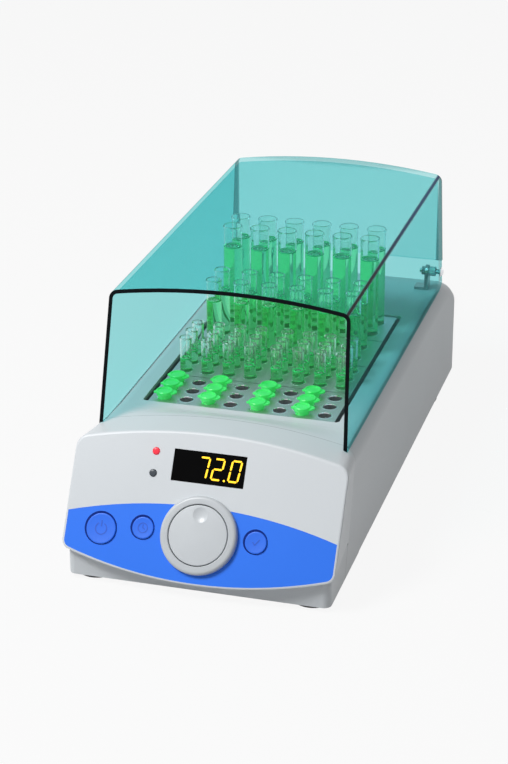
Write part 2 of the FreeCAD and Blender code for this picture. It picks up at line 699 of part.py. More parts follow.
def coarse_spots(place_number):
    """Six columns, two rows."""
    for column in range(6):
        across = size["coarse_pitch"] * (column - 2.5)
        for row in range(2):
            yield column, row, across, block_centre(place_number) + size["coarse_row_pitch"] * (row - 0.5)


EMPTY_COLUMNS = (1, 3, 5, 7)


def tube_block(label, place_number, spots, radius, empty_columns=()):
    """A machined block with a blind well at each spot. The first empty well is the one that is gauged round."""
    low = (-size["block_width"] / 2, block_centre(place_number) - size["block_depth"] / 2, block_floor_z)
    high = (size["block_width"] / 2, block_centre(place_number) + size["block_depth"] / 2, block_top_z)
    plain = block_between(label + "_plain", low, high)
    wells = []
    for column, row, across, y in spots:
        name = "%s_well_%d_%d" % (label, column, row)
        at = (across, y, block_floor_z + size["well_floor"])
        height = size["block_height"] - size["well_floor"] + 1
        if empty_columns and (column, row) == (empty_columns[0], 0):
            wells.append(solid("Cylinder", name, at=at, Radius=radius, Height=height))
        else:
            sides = FEW_SIDES if column in empty_columns else HIDDEN_SIDES
            corners = radius if column in empty_columns else radius / flats(sides)
            wells.append(solid("Prism", name, at=at, Polygon=sides, Circumradius=corners, Height=height))
    return node(label, cut(label + "_shape", plain, *wells))


clear = size["tube_clearance"]
tube_block("microtube_block", 0, fine_spots(0), size["micro_radius"] + clear, EMPTY_COLUMNS)
tube_block("small_tube_block", 1, fine_spots(1), size["small_radius"] + clear)
tube_block("medium_tube_block", 2, coarse_spots(2), size["medium_radius"] + clear)
tube_block("large_tube_block", 3, coarse_spots(3), size["large_radius"] + clear)
well_bottom_z = block_floor_z + size["well_floor"]


def open_tube(name, across, y, radius, rise):
    """A glass tube standing in its well, hollow down to the liquid that fills it."""
    height = size["block_height"] - size["well_floor"] + rise
    outside = solid("Prism", name + "_outside", at=(across, y, well_bottom_z), Polygon=TUBE_SIDES,
                    Circumradius=radius, Height=height)
    bore = solid("Prism", name + "_bore", at=(across, y, block_top_z + rise - size["fill_below_rim"]),
                 Polygon=HIDDEN_SIDES, Circumradius=radius - size["glass"], Height=size["fill_below_rim"] + 1)
    return cut(name, outside, bore)


def rack_of_tubes(label, spots, radius, rise):
    tubes = [open_tube("%s_%d_%d" % (label, column, row), across, y, radius, rise)
             for column, row, across, y in spots]
    return node(label, group(label + "_shape", tubes))


rack_of_tubes("small_tubes", fine_spots(1), size["small_radius"], size["small_rise"])
rack_of_tubes("medium_tubes", coarse_spots(2), size["medium_radius"], size["medium_rise"])
rack_of_tubes("large_tubes", coarse_spots(3), size["large_radius"], size["large_rise"])


def closed_microtube(name, across, y):
    """A capped microtube: body in the well, round lid and its thumb tab."""
    body = solid("Prism", name + "_stem", at=(across, y, well_bottom_z + 8), Polygon=TUBE_SIDES,
                 Circumradius=size["micro_radius"],
                 Height=size["block_height"] - size["well_floor"] - 8 + size["micro_rise"])
    lid = solid("Prism", name + "_lid", at=(across, y, block_top_z + size["micro_rise"]), Polygon=TUBE_SIDES,
                Circumradius=size["micro_lid_radius"], Height=size["micro_lid_height"])
    tab = block_between(name + "_tab", (across, y - 2.6, block_top_z + size["micro_rise"]),
                        (across + size["micro_lid_radius"] + 3.4, y + 2.6,
                         block_top_z + size["micro_rise"] + size["micro_lid_height"] / 2))
    return fuse(name, body, lid, tab)


node("microtubes", group("microtubes_shape", [
    closed_microtube("microtube_%d_%d" % (column, row), across, y)
    for column, row, across, y in fine_spots(0) if column not in EMPTY_COLUMNS]))

# Clear cover, bent from one sheet, with the back panel and round lower rear corners
cover_back_y = half_length - size["cover_rear_inset"]
pivot_y = cover_back_y - size["pivot_to_back"]
cover_foot_z = size["cover_foot_z"]


def cover_section(y, inset, low_z):
    """The bent sheet's section at one place: flared walls, round folds, bowed top."""
    top_half = number["cover_top_width"] / 2
    foot_half = number["cover_foot_width"] / 2
    corner_z = number["cover_corner_z"]
    flare = (foot_half - top_half) / (corner_z - float(cover_foot_z))
    fold = max(number["cover_fold_radius"] - inset, 1.0)
    radius, centre_z = bow(corner_z + number["cover_crown"], corner_z, top_half)
    radius -= inset
    slant = math.hypot(1.0, flare)

    def wall_x(z):
        return foot_half - inset * slant - flare * (z - float(cover_foot_z))

    # The fold's centre is one fold radius in from both the slanted wall and the bowed top
    z = corner_z - fold
    for _ in range(20):
        x = wall_x(z) - fold * slant
        z = centre_z + math.sqrt((radius - fold) ** 2 - x * x)
    on_wall = Vector(x + fold / slant, y, z + fold * flare / slant)
    away = Vector(x, 0, z - centre_z).normalize()
    on_top = Vector(x, y, z) + away * fold
    middle = Vector(x, y, z) + ((on_wall - Vector(x, y, z)).normalize() + away).normalize() * fold
    foot = Vector(wall_x(low_z), y, low_z)
    left = [Vector(-p.x, p.y, p.z) for p in (foot, on_wall, middle, on_top)]
    edges = [Part.LineSegment(foot, on_wall).toShape(), Part.Arc(on_wall, middle, on_top).toShape(),
             Part.Arc(on_top, Vector(0, y, centre_z + radius), left[3]).toShape(),
             Part.Arc(left[3], left[2], left[1]).toShape(), Part.LineSegment(left[1], left[0]).toShape(),
             Part.LineSegment(left[0], foot).toShape()]
    return Part.Face(Part.Wire(edges))


def make_cover():
    back_y, sheet = float(cover_back_y), number["cover_sheet"]
    clearance = number["cover_clearance"]
    foot_z, pivot = float(cover_foot_z), Vector(-150, float(pivot_y), number["pivot_z"])
    lean_run = number["cover_lean"]
    front_top_y = back_y - number["cover_length"]
    front_low_y = front_top_y - lean_run
    length = back_y - front_low_y
    outer = cover_section(front_low_y, 0.0, foot_z).extrude(Vector(0, length, 0))
    inner = cover_section(front_low_y - 1, sheet, foot_z - 5).extrude(Vector(0, length + 1 - sheet, 0))
    shell = outer.cut(inner)
    # Front edges lean back from foot to top
    past_top = 1.3
    wedge_top_z = foot_z + (number["cover_corner_z"] - foot_z) * past_top
    wedge = [Vector(-150, front_low_y - 5, foot_z), Vector(-150, front_low_y, foot_z),
             Vector(-150, front_low_y + lean_run * past_top, wedge_top_z),
             Vector(-150, front_low_y - 5, wedge_top_z)]
    shell = shell.cut(Part.Face(Part.makePolygon(wedge + wedge[:1])).extrude(Vector(300, 0, 0)))
    # The foot follows the casing where that rises towards the face
    for under in (cap_solid(), casing_solid()):
        shell = shell.cut(under.translated(Vector(0, clearance, clearance)))
    # Behind the pivot the walls keep inside a circle that clears the deck as the cover swings
    reach = number["pivot_z"] - foot_z - clearance
    low_rear = Part.makeBox(300, 60, reach + 10, Vector(-150, pivot.y, pivot.z - reach - 10))
    shell = shell.cut(low_rear.cut(Part.makeCylinder(reach, 300, pivot, Vector(1, 0, 0))))
    # The back panel ends above the brackets, so that it passes behind and over them
    panel_low_z = pivot.z + number["bracket_half"] + 2 * clearance
    below = Part.makeBox(300, 40, panel_low_z - foot_z + 10, Vector(-150, back_y - sheet - 0.01, foot_z - 10))
    shell = shell.cut(below)
    hole = Part.makeCylinder(number["pivot_screw_radius"] + number["running_gap"], 300, pivot, Vector(1, 0, 0))
    return shell.cut(hole)


node("cover", feature("cover_shape", make_cover()))
wall_height = size["cover_corner_z"] - cover_foot_z
flare_at_pivot = size["cover_flare"] * (size["pivot_z"] - cover_foot_z) / wall_height
wall_x_at_pivot = size["cover_foot_width"] / 2 - flare_at_pivot
bracket_x = half_width - size["shoulder_radius"] - 3.5
bracket_out_x = bracket_x + size["bracket_sheet"]
half_bracket = size["bracket_half"]
SIDES = (("left", -1), ("right", 1))


def across_bar(name, side, start, end, radius, sides=0):
    """A bar along the hinge axis between two distances from the middle, on one side, round or with flats."""
    low = start if side > 0 else -end
    at = (low, pivot_y, size["pivot_z"])
    if sides:
        return solid("Prism", name, at=at, turn=ALONG_X, Polygon=sides, Circumradius=radius, Height=end - start)
    return solid("Cylinder", name, at=at, turn=ALONG_X, Radius=radius, Height=end - start)


def side_box(name, side, start, end, low, high):
    """A box between two distances from the middle, on one side, with y and z from low to high."""
    first, last = (start, end) if side > 0 else (-end, -start)
    return block_between(name, (first, low[0], low[1]), (last, high[0], high[1]))


screw_bore = (size["pivot_screw_radius"] + 0.1) / flats(FEW_SIDES)
for word, side in SIDES:
    upright = side_box("upright_" + word, side, bracket_x, bracket_out_x, (pivot_y - half_bracket, deck_z),
                       (pivot_y + half_bracket, size["pivot_z"]))
    eye = across_bar("eye_" + word, side, bracket_x, bracket_out_x, half_bracket, MORE_SIDES)
    foot = side_box("bracket_foot_" + word, side, bracket_x - size["bracket_foot"], bracket_out_x,
                    (pivot_y - half_bracket, deck_z), (pivot_y + half_bracket, deck_z + 2.5))
    bore = across_bar("bracket_bore_" + word, side, bracket_x - 1, bracket_out_x + 1, screw_bore, FEW_SIDES)
    node("hinge_bracket_" + word, cut("hinge_bracket_%s_shape" % word,
                                      fuse("bracket_body_" + word, upright, eye, foot), bore))

screws, spacers, nuts = [], [], []
head_start = wall_x_at_pivot + 0.6
NUT_HEIGHT, HEAD_HEIGHT = 3.2, 2.8
for word, side in SIDES:
    shank = across_bar("pivot_shank_" + word, side, bracket_x - 5, head_start, size["pivot_screw_radius"])
    head = across_bar("pivot_head_" + word, side, head_start, head_start + HEAD_HEIGHT, size["screw_head_radius"],
                      MORE_SIDES)
    screws.append(fuse("pivot_screw_" + word, shank, head))
    spacer_end = wall_x_at_pivot - size["cover_sheet"] - 0.4
    body = across_bar("spacer_body_" + word, side, bracket_out_x, spacer_end, size["screw_head_radius"], FEW_SIDES)
    spacer_bore = across_bar("spacer_bore_" + word, side, bracket_x, spacer_end + 1, screw_bore, FEW_SIDES)
    spacers.append(cut("spacer_" + word, body, spacer_bore))
    nut = across_bar("nut_body_" + word, side, bracket_x - NUT_HEIGHT, bracket_x,
                     size["pivot_screw_radius"] * 2, HIDDEN_SIDES)
    nut_bore = across_bar("nut_bore_" + word, side, bracket_x - 4, bracket_x + 1, screw_bore, FEW_SIDES)
    nuts.append(cut("nut_" + word, nut, nut_bore))
node("pivot_screws", group("pivot_screws_shape", screws))
node("hinge_spacers", group("hinge_spacers_shape", spacers))
node("pivot_nuts", group("pivot_nuts_shape", nuts))

# Base plate, feet and their screws
plinth_front_y = -half_length + size["plinth_setback"]
inner_half = half_width - wall - gap
plate_low = (-inner_half, plinth_front_y + wall + gap, floor_z)
plate_top_z = floor_z + size["base_sheet"]
plate_high = (inner_half, half_length - wall - gap, plate_top_z)
base_plate = block_between("base_sheet", plate_low, plate_high)
FEET = [(side * size["foot_across"], y) for side in (-1, 1) for y in (size["front_foot_y"], size["rear_foot_y"])]
foot_screw_holes = [solid("Prism", "foot_screw_hole_%d" % i, at=(x, y, floor_z - 1), Polygon=TUBE_SIDES,
                          Circumradius=2.2, Height=4.0)
                    for i, (x, y) in enumerate(FEET)]
node("base_plate", cut("base_plate_shape", base_plate, *foot_screw_holes))
feet, foot_screws = [], []
for i, (x, y) in enumerate(FEET):
    pad = solid("Prism", "foot_pad_%d" % i, at=(x, y, 0), Polygon=MORE_SIDES, Circumradius=size["foot_radius"],
                Height=size["foot_height"])
    recess = solid("Prism", "foot_recess_%d" % i, at=(x, y, -1), Polygon=TUBE_SIDES, Circumradius=4.2, Height=3.0)
    bore = solid("Prism", "foot_bore_%d" % i, at=(x, y, 0), Polygon=TUBE_SIDES, Circumradius=2.2, Height=6.0)
    feet.append(cut("foot_%d" % i, pad, recess, bore))
    screw_head = solid("Prism", "foot_screw_head_%d" % i, at=(x, y, 0.8), Polygon=TUBE_SIDES, Circumradius=3.6,
                       Height=1.2)
    screw_shank = solid("Prism", "foot_screw_shank_%d" % i, at=(x, y, 1.5), Polygon=TUBE_SIDES, Circumradius=1.9,
                        Height=8.0)
    foot_screws.append(fuse("foot_screw_%d" % i, screw_head, screw_shank))
node("feet", group("feet_shape", feet))
node("foot_screws", group("foot_screws_shape", foot_screws))

# Electronics on the base plate, and the power inlet at the back
board_low_y = size["opening_front_y"] - 60
standoffs = [solid("Prism", "standoff_%d_%d" % (i, j), at=(-62 + 86 * i, board_low_y + 5 + 34 * j, plate_top_z),
                   Polygon=6, Circumradius=3.0, Height=8.0) for i in range(2) for j in range(2)]
node("board_standoffs", group("board_standoffs_shape", standoffs))
node("power_board", block_between("power_board_shape", (-70.0, board_low_y, plate_top_z + 8),
                                  (32.0, board_low_y + 44, plate_top_z + 9.6)))
node("power_supply", block_between("power_supply_shape", (-62.0, board_low_y + 8, plate_top_z + 9.6),
                                   (-16.0, board_low_y + 36, plate_top_z + 32)))
sink_base = block_between("sink_base", (-8.0, board_low_y + 10, plate_top_z + 9.6),
                          (26.0, board_low_y + 34, plate_top_z + 13.6))
fins = [block_between("sink_fin_%d" % i, (-8.0 + 8 * i, board_low_y + 10, plate_top_z + 13.6),
                      (-6.0 + 8 * i, board_low_y + 34, plate_top_z + 30)) for i in range(5)]
node("switch_heat_sink", fuse("switch_heat_sink_shape", sink_base, *fins))
core = block_between("core_block", (-24.0, half_length - 88, plate_top_z),
                     (24.0, half_length - 60, plate_top_z + 42))
coil = block_between("coil_block", (-15.0, half_length - 94, plate_top_z + 8),
                     (15.0, half_length - 54, plate_top_z + 34))
node("transformer", fuse("transformer_shape", core, coil))
node("thermal_cutout", block_between("thermal_cutout_shape", cutout_low, cutout_high))
node("temperature_sensor", solid("Prism", "temperature_sensor_shape", at=sensor_spot, turn=ALONG_Y,
                                 Polygon=TUBE_SIDES, Circumradius=sensor_radius, Height=sensor_length))
rear_inner_y = half_length - wall
inlet_x, inlet_z = half_width - size["inlet_inset"], size["inlet_height"]
half_wide, half_tall = size["inlet_wide"] / 2, size["inlet_tall"] / 2


def inlet_box(name, wide, tall, front, back):
    """A box centred on the inlet, a half width and a half height about it."""
    return block_between(name, (inlet_x - wide, front, inlet_z - tall), (inlet_x + wide, back, inlet_z + tall))


inlet_body = inlet_box("inlet_body", half_wide, half_tall, rear_inner_y - 22, half_length - 0.4)
inlet_flange = inlet_box("inlet_flange", half_wide + 11.5, half_tall + 2.75, rear_inner_y - 2.5, rear_inner_y)
inlet_socket = inlet_box("inlet_socket", half_wide - 1.5, half_tall - 1.75, rear_inner_y - 14, half_length)
node("power_inlet", cut("power_inlet_shape", fuse("inlet_case", inlet_body, inlet_flange), inlet_socket))
PINS = ((-7, -2), (0, 2), (7, -2))
node("inlet_pins", group("inlet_pins_shape", [
    block_between("inlet_pin_%d" % i, (inlet_x + dx - 1, rear_inner_y - 14, inlet_z + dz - 2),
                  (inlet_x + dx + 1, rear_inner_y - 3, inlet_z + dz + 2)) for i, (dx, dz) in enumerate(PINS)]))

# The casing gives way to the inlet at its rear wall
inlet_cutout = inlet_box("inlet_cutout", half_wide, half_tall, rear_inner_y - 1, half_length + 1)
node("housing", cut("housing_cut", feature("housing_shape", make_housing()), inlet_cutout))


def check_and_export():
    """Stop on any failed object or broken solid, then write one file for each node."""
    doc.recompute()
    for item in doc.Objects:
        if "Invalid" in item.State or "Error" in item.State:
            raise RuntimeError("%s did not rebuild: %s" % (item.Label, item.State))
    for label, item in NODES.items():
        shape = item.Shape
        if shape.isNull() or not shape.isValid() or not shape.Solids:
            raise RuntimeError("%s has no valid solid" % label)
        shape.exportStep("parts/%s.step" % label)
        print("%-22s solids %2d  volume %10.0f" % (label, len(shape.Solids), sum(s.Volume for s in shape.Solids)))
    everything = Part.makeCompound([item.Shape for item in NODES.values()])
    box = everything.optimalBoundingBox(False)
    print("nodes %d, box x %.2f %.2f y %.2f %.2f z %.2f %.2f" % (
        len(NODES), box.XMin, box.XMax, box.YMin, box.YMax, box.ZMin, box.ZMax))


check_and_export()
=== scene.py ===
# %% [markdown]
# # A dry block heater on a white bench
#
# This notebook dresses a small laboratory heater. The casing, the cover, the dial and every other
# rigid part come from the CAD model, already in place and in metres. What is left for Blender is how
# each surface looks, and the small things that CAD leaves plain: glass tubes with liquid in them,
# lidded microtubes, the digits in the window and the signs on the buttons.

# %% Load the frame
import json
import math

import bpy
from mathutils import Euler, Matrix, Vector


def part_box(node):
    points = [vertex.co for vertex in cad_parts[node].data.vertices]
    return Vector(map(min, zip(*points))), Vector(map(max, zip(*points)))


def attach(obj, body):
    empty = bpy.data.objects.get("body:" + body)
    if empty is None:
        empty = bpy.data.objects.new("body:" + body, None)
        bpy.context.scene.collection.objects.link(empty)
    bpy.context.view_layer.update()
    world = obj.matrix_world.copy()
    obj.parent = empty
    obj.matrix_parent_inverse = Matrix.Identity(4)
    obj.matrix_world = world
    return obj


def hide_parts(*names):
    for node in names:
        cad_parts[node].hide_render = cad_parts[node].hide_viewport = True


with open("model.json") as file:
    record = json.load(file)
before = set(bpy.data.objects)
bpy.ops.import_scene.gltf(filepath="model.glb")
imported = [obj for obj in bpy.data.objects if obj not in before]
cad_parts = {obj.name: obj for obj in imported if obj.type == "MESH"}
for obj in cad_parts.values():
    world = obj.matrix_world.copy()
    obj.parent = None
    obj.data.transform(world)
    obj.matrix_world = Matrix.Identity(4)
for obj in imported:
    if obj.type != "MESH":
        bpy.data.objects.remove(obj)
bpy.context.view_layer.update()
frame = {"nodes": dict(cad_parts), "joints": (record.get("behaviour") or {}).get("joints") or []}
nodes = frame["nodes"]
MM = 0.001

# %% [markdown]
# ## Where things sit on the sloping face
#
# Most of the small pieces belong to the face, which leans back. The dial's joint already holds the
# two facts that place them: a point in the middle of the knob, and the direction that points straight
# out of the face. From these a little coordinate frame follows, with "across", "up the slope" and
# "out". Working in it keeps every later number a plain distance on a flat panel. Heights up the face
# are the CAD part's own, so the knob's height comes off each of them.

# %% A coordinate frame on the face
KNOB_UP = 21.5


def joint_named(name):
    return next(joint for joint in frame["joints"] if joint["name"] == name)


KNOB = Vector(joint_named("dial_turn")["pos_m"])
OUT = Vector(joint_named("dial_turn")["axis"]).normalized()
ACROSS = Vector((1, 0, 0))
UPHILL = OUT.cross(ACROSS)
FACE = Matrix((ACROSS, UPHILL, OUT)).transposed().to_4x4()
FACE.translation = KNOB


def on_face(across, up, out=0.0):
    """A matrix that stands a piece on the face, in millimetres from the middle of the knob."""
    return FACE @ Matrix.Translation(Vector((across, up, out)) * MM)


print("the face leans back", round(math.degrees(math.asin(OUT.z)), 1), "degrees")

# %% [markdown]
# ## The camera
#
# The photograph was taken from above and a little to the right, with a long lens. Its place comes
# from fitting a pinhole camera to twenty-one points of the picture, such as the corners of the window
# and of the cover. A long lens is why the sides of the casing hardly converge. The turn is given as
# three angles, because that is how the fit gives it: yaw to the left, pitch down, and a roll of under
# a degree. The sensor's width lies along the longer side of the picture, which is its height.

# %% Camera
FRAME_HEIGHT, FOCAL_PIXELS, SENSOR = 764, 2118.7, 36.0
CAMERA_PLACE = Vector((0.42697, -1.54380, 0.78745))
YAW, PITCH, ROLL = 0.28185, 0.41659, -0.00393


def shown(name, data):
    """A new object for this data, linked to the scene."""
    made = bpy.data.objects.new(name, data)
    bpy.context.scene.collection.objects.link(made)
    return made


camera_data = bpy.data.cameras.new("camera")
camera_data.sensor_width = SENSOR
camera_data.lens = SENSOR * FOCAL_PIXELS / FRAME_HEIGHT
camera_data.clip_start, camera_data.clip_end = 0.05, 50.0
camera = shown("camera", camera_data)
turn = Euler((math.pi / 2 - PITCH, 0, YAW), "XYZ").to_matrix() @ Matrix.Rotation(ROLL, 3, "Z")
camera.matrix_world = Matrix.Translation(CAMERA_PLACE) @ turn.to_4x4()
bpy.context.scene.camera = camera
print("lens", round(camera_data.lens, 1), "mm")

# %% [markdown]
# ## Shader sums as plain Python
#
# A procedural material is a small sum: some noise, scaled and added to a colour. Written with nodes
# by hand, a sum of three terms takes a screen of code. The `Wire` class below wraps one socket and
# teaches it the usual signs, so `1 - mask * 0.4` builds its Math nodes by itself. The `Tree` class
# holds one node tree, and its single `node` method makes any other node from its type, its settings
# and what goes into its sockets. A `Finish` is such a tree for one material.

# %% Wires


class Wire:
    """An output socket that takes part in Python sums."""

    def __init__(self, owner, socket):
        self.owner, self.socket = owner, socket

    def _math(self, operation, *values):
        return self.owner.node("ShaderNodeMath", {"operation": operation}, *values)

    def __add__(self, other):
        return self._math("ADD", self, other)

    __radd__ = __add__

    def __sub__(self, other):
        return self._math("SUBTRACT", self, other)

    def __rsub__(self, other):
        return self._math("SUBTRACT", other, self)

    def __mul__(self, other):
        return self._math("MULTIPLY", self, other)

    __rmul__ = __mul__

    def __abs__(self):
        return self._math("ABSOLUTE", self)

    def __lt__(self, other):
        return self._math("LESS_THAN", self, other)


print("signs a wire knows:", "+ - * abs <")

# %% [markdown]
# ## Trees and finishes
#
# The tree's methods are the few phrases that the finishes below are made of: a point on the piece, a
# noise, a fade from 0 to 1, a mix of two colours, the largest of several masks. Colours are written as
# they are picked from a screen, and `linear` turns them into the numbers that shaders use.

# %% Trees and finishes


def socket_name(word):
    """The name on a socket for a Python word: base_color becomes "Base Color"."""
    return word.replace("_", " ").title().replace("Ior", "IOR")


class Tree:
    """A node tree under construction, with its output node."""

    def __init__(self, tree, output):
        self.tree = tree
        tree.nodes.clear()
        self.output = tree.nodes.new(output)

    def fill(self, socket, value):
        """Give a socket a wire or a value. None leaves it as it is."""
        if isinstance(value, Wire):
            self.tree.links.new(value.socket, socket)
        elif value is not None:
            plain_colour = socket.type == "RGBA" and len(value) == 3
            socket.default_value = (*value, 1.0) if plain_colour else value

    def node(self, kind, settings=None, *values, out=0, **named):
        """Any node: its settings first, then its sockets in order or by name."""
        made = self.tree.nodes.new(kind)
        for setting, value in (settings or {}).items():
            setattr(made, setting, value)
        for index, value in enumerate(values):
            self.fill(made.inputs[index], value)
        for word, value in named.items():
            self.fill(made.inputs[socket_name(word)], value)
        return Wire(self, made.outputs[out])

    def show(self, shader):
        """Lead a shader to the output."""
        self.fill(self.output.inputs["Surface"], shader)

    def most(self, *amounts):
        """The largest of several amounts."""
        largest = amounts[0]
        for amount in amounts[1:]:
            largest = self.node("ShaderNodeMath", {"operation": "MAXIMUM"}, largest, amount)
        return largest

    def seen(self):
        """1 for rays that show a thing as it is: from the camera, or by way of gloss or glass."""
        kinds = ("Is Camera Ray", "Is Glossy Ray", "Is Transmission Ray")
        return self.most(*(self.node("ShaderNodeLightPath", out=kind) for kind in kinds))


class Finish(Tree):
    """One material under construction, with one Principled shader."""

    def __init__(self, name, **fixed):
        self.material = bpy.data.materials.new(name)
        self.material.use_nodes = True
        super().__init__(self.material.node_tree, "ShaderNodeOutputMaterial")
        self.principled = self.node("ShaderNodeBsdfPrincipled")
        self.show(self.principled)
        self.set(**fixed)

    def set(self, **sockets):
        """Give values or wires to the Principled shader's sockets."""
        for word, value in sockets.items():
            self.fill(self.principled.socket.node.inputs[socket_name(word)], value)
        return self

    def point(self):
        """The point on the piece, in metres in the shared frame, with the piece at rest."""
        return self.node("ShaderNodeTexCoord", out="Object")

    def parts(self, vector):
        """The three numbers of a vector as wires."""
        split = self.node("ShaderNodeSeparateXYZ", None, vector).socket.node
        return [Wire(self, split.outputs[index]) for index in range(3)]

    def noise(self, scale, detail=3.0):
        return self.node("ShaderNodeTexNoise", None, Vector=self.point(), Scale=scale, Detail=detail)

    def fade(self, amount, low, high):
        """0 below low, 1 above high, eased in between."""
        return self.node("ShaderNodeMapRange", {"interpolation_type": "SMOOTHSTEP"}, amount, low, high)

    def mix(self, mask, below, above):
        """Colour from one to the other by a mask. Five sockets for other kinds of value lie between."""
        return self.node("ShaderNodeMix", {"data_type": "RGBA"}, mask, *[None] * 5, below, above, out=2)

    def bump(self, height, distance, strength):
        return self.set(normal=self.node("ShaderNodeBump", None, Height=height, Distance=distance,
                                         Strength=strength))


def linear(red, green, blue):
    """A colour as it is picked from a screen, 0 to 255, in the linear numbers that shaders use."""
    shares = [part / 255 for part in (red, green, blue)]
    return tuple(s / 12.92 if s <= 0.04045 else ((s + 0.055) / 1.055) ** 2.4 for s in shares)


def dress(finish, *names):
    """Give CAD nodes a finish."""
    for name in names:
        mesh = nodes[name].data
        mesh.materials.clear()
        mesh.materials.append(finish.material)
    print(finish.material.name, "on", ", ".join(names))


# %% [markdown]
# ## Moulded plastic
#
# The casing is a light grey moulding. Under the lamps it is not one flat grey: the mould gives it a
# fine grain that breaks up the highlights, and the colour drifts very slightly over the large walls.
# The grain is a Noise texture that feeds a Bump node. Object coordinates keep its scale real, so a
# grain of half a millimetre stays half a millimetre on every part. A hair of shadow marks the seam
# where the front cap meets the long casing. The seam leans, and its line would meet the bench a
# little way behind the knob.

# %% Casing finish
SEAM_LEAN = math.radians(17.2)
SEAM_FOOT = KNOB.y + 37.02 * MM
SEAM_CORE, SEAM_EDGE, SEAM_SHADE = 0.15 * MM, 0.55 * MM, 0.55
CASING_LOW, CASING_HIGH, SEAM_GREY = linear(202, 207, 211), linear(210, 215, 219), linear(96, 100, 104)

casing = Finish("casing_plastic", specular_ior_level=0.45)
x, y, z = casing.parts(casing.point())
grain = casing.noise(2600.0, 2.0)
seam_distance = abs(y - z * math.tan(SEAM_LEAN) - SEAM_FOOT)
seam = 1 - casing.fade(seam_distance, SEAM_CORE, SEAM_EDGE)
drifting = casing.mix(casing.noise(9.0, 2.0), CASING_LOW, CASING_HIGH)
casing.set(base_color=casing.mix(seam * SEAM_SHADE, drifting, SEAM_GREY), roughness=0.36 + grain * 0.14)
casing.bump(grain, 0.06 * MM, 0.6)
dress(casing, "housing", "front_cap")

# %% [markdown]
# ## The blue inlay and the pale caps
#
# The lower face is a printed blue inlay: a saturated base, a satin surface and the faintest grain. The
# dial and its ring are paler than the casing and a little smoother, as turned and polished caps are.
# They differ only in shade and gloss, so one helper makes both.

# %% Blue inlay and pale caps
inlay = Finish("overlay_blue", specular_ior_level=0.4)
inlay_grain = inlay.noise(1800.0, 2.0)
inlay.set(base_color=inlay.mix(inlay.noise(14.0, 2.0), linear(32, 112, 236), linear(36, 118, 242)),
          roughness=0.32 + inlay_grain * 0.16)
inlay.bump(inlay_grain, 0.04 * MM, 0.5)
dress(inlay, "control_overlay")


def pale_cap(name, low, high, rough):
    """A pale smooth plastic with a slow drift of colour and a fine grain."""
    finish = Finish(name, roughness=rough)
    finish.set(base_color=finish.mix(finish.noise(30.0), linear(*low), linear(*high)))
    return finish.bump(finish.noise(2400.0, 2.0), 0.04 * MM, 0.4)


ring_finish = pale_cap("bezel_plastic", (184, 189, 193), (196, 201, 205), 0.34)
disc_finish = pale_cap("dial_plastic", (192, 197, 201), (202, 207, 211), 0.3)
print("pale caps:", ring_finish.material.name, disc_finish.material.name)

# %% [markdown]
# ## Metal
#
# The tube blocks are milled aluminium, bead blasted so that they look soft and slightly speckled.
# A metal takes its colour from what it reflects, so the base is a mid grey and the roughness carries
# the speckle. Steel brackets and screws are the same idea, darker or brighter.

# %% Metal finishes


def speckled(name, low, high, rough, scale, depth, spread=0.1, relief=0.6, **fixed):
    """Two screen colours mixed by one noise, which also varies the gloss and the relief in mm."""
    finish = Finish(name, **fixed)
    spots = finish.noise(scale, 4.0)
    finish.set(base_color=finish.mix(spots, linear(*low), linear(*high)), roughness=rough + spots * spread)
    return finish.bump(spots, depth * MM, relief)


METAL = {"metallic": 1.0, "spread": 0.18, "relief": 0.5}
blasted = speckled("blasted_aluminium", (150, 154, 156), (214, 217, 219), 0.34, 1400.0, 0.03, **METAL)
steel = speckled("plain_steel", (140, 143, 146), (176, 179, 182), 0.28, 500.0, 0.03, **METAL)
bright = speckled("bright_steel", (205, 208, 212), (232, 234, 237), 0.10, 300.0, 0.01, **METAL)
brass = speckled("plated_brass", (190, 160, 90), (222, 192, 120), 0.25, 400.0, 0.03, **METAL)
dress(blasted, "block_tray", "microtube_block", "small_tube_block", "medium_tube_block", "large_tube_block",
      "switch_heat_sink")
dress(steel, "hinge_bracket_left", "hinge_bracket_right", "pivot_nuts", "base_plate", "foot_screws",
      "board_standoffs", "transformer", "temperature_sensor", "dial_encoder")
dress(brass, "inlet_pins")

# %% [markdown]
# ## Dark and hidden parts
#
# Rubber feet, black mouldings, green boards and the felt jacket are seldom seen, but a reader who
# lifts the cover or looks underneath should still find the right stuff there. Most of them are rows
# of one table: two colours, roughness, scale of the spots, depth of the relief in millimetres, nodes.

# %% Rubber, boards, felt and window
HIDDEN_FINISHES = {
    "clear_nylon": ((186, 200, 202), (204, 216, 218), 0.4, 900.0, 0.03, ["hinge_spacers"]),
    "black_moulding": ((18, 18, 20), (30, 30, 33), 0.45, 1500.0, 0.04,
                       ["button_switches", "display_module", "power_supply", "thermal_cutout",
                        "power_inlet"]),
    "circuit_board": ((16, 84, 40), (24, 104, 52), 0.4, 260.0, 0.02, ["control_board", "power_board"]),
    "felt_jacket": ((206, 198, 176), (228, 222, 204), 0.85, 700.0, 0.4, ["insulation_jacket"]),
    "heater_silicone": ((150, 58, 30), (172, 72, 40), 0.55, 500.0, 0.08, ["heater_mat"]),
}
for name, (*look, fitted) in HIDDEN_FINISHES.items():
    dress(speckled(name, *look), *fitted)
rubber = speckled("foot_rubber", (22, 22, 23), (38, 38, 40), 0.7, 900.0, 0.06)
dress(speckled("window_black", (1, 1, 1), (4, 4, 5), 0.12, 60.0, 0.0, specular_ior_level=0.04),
      "display_window")

# %% [markdown]
# ## Signal lamps
#
# Two small domes sit left of the window. The upper one glows red and the lower one is off. A glow
# that is the same all over needs no nodes: the emission is set on the shader.

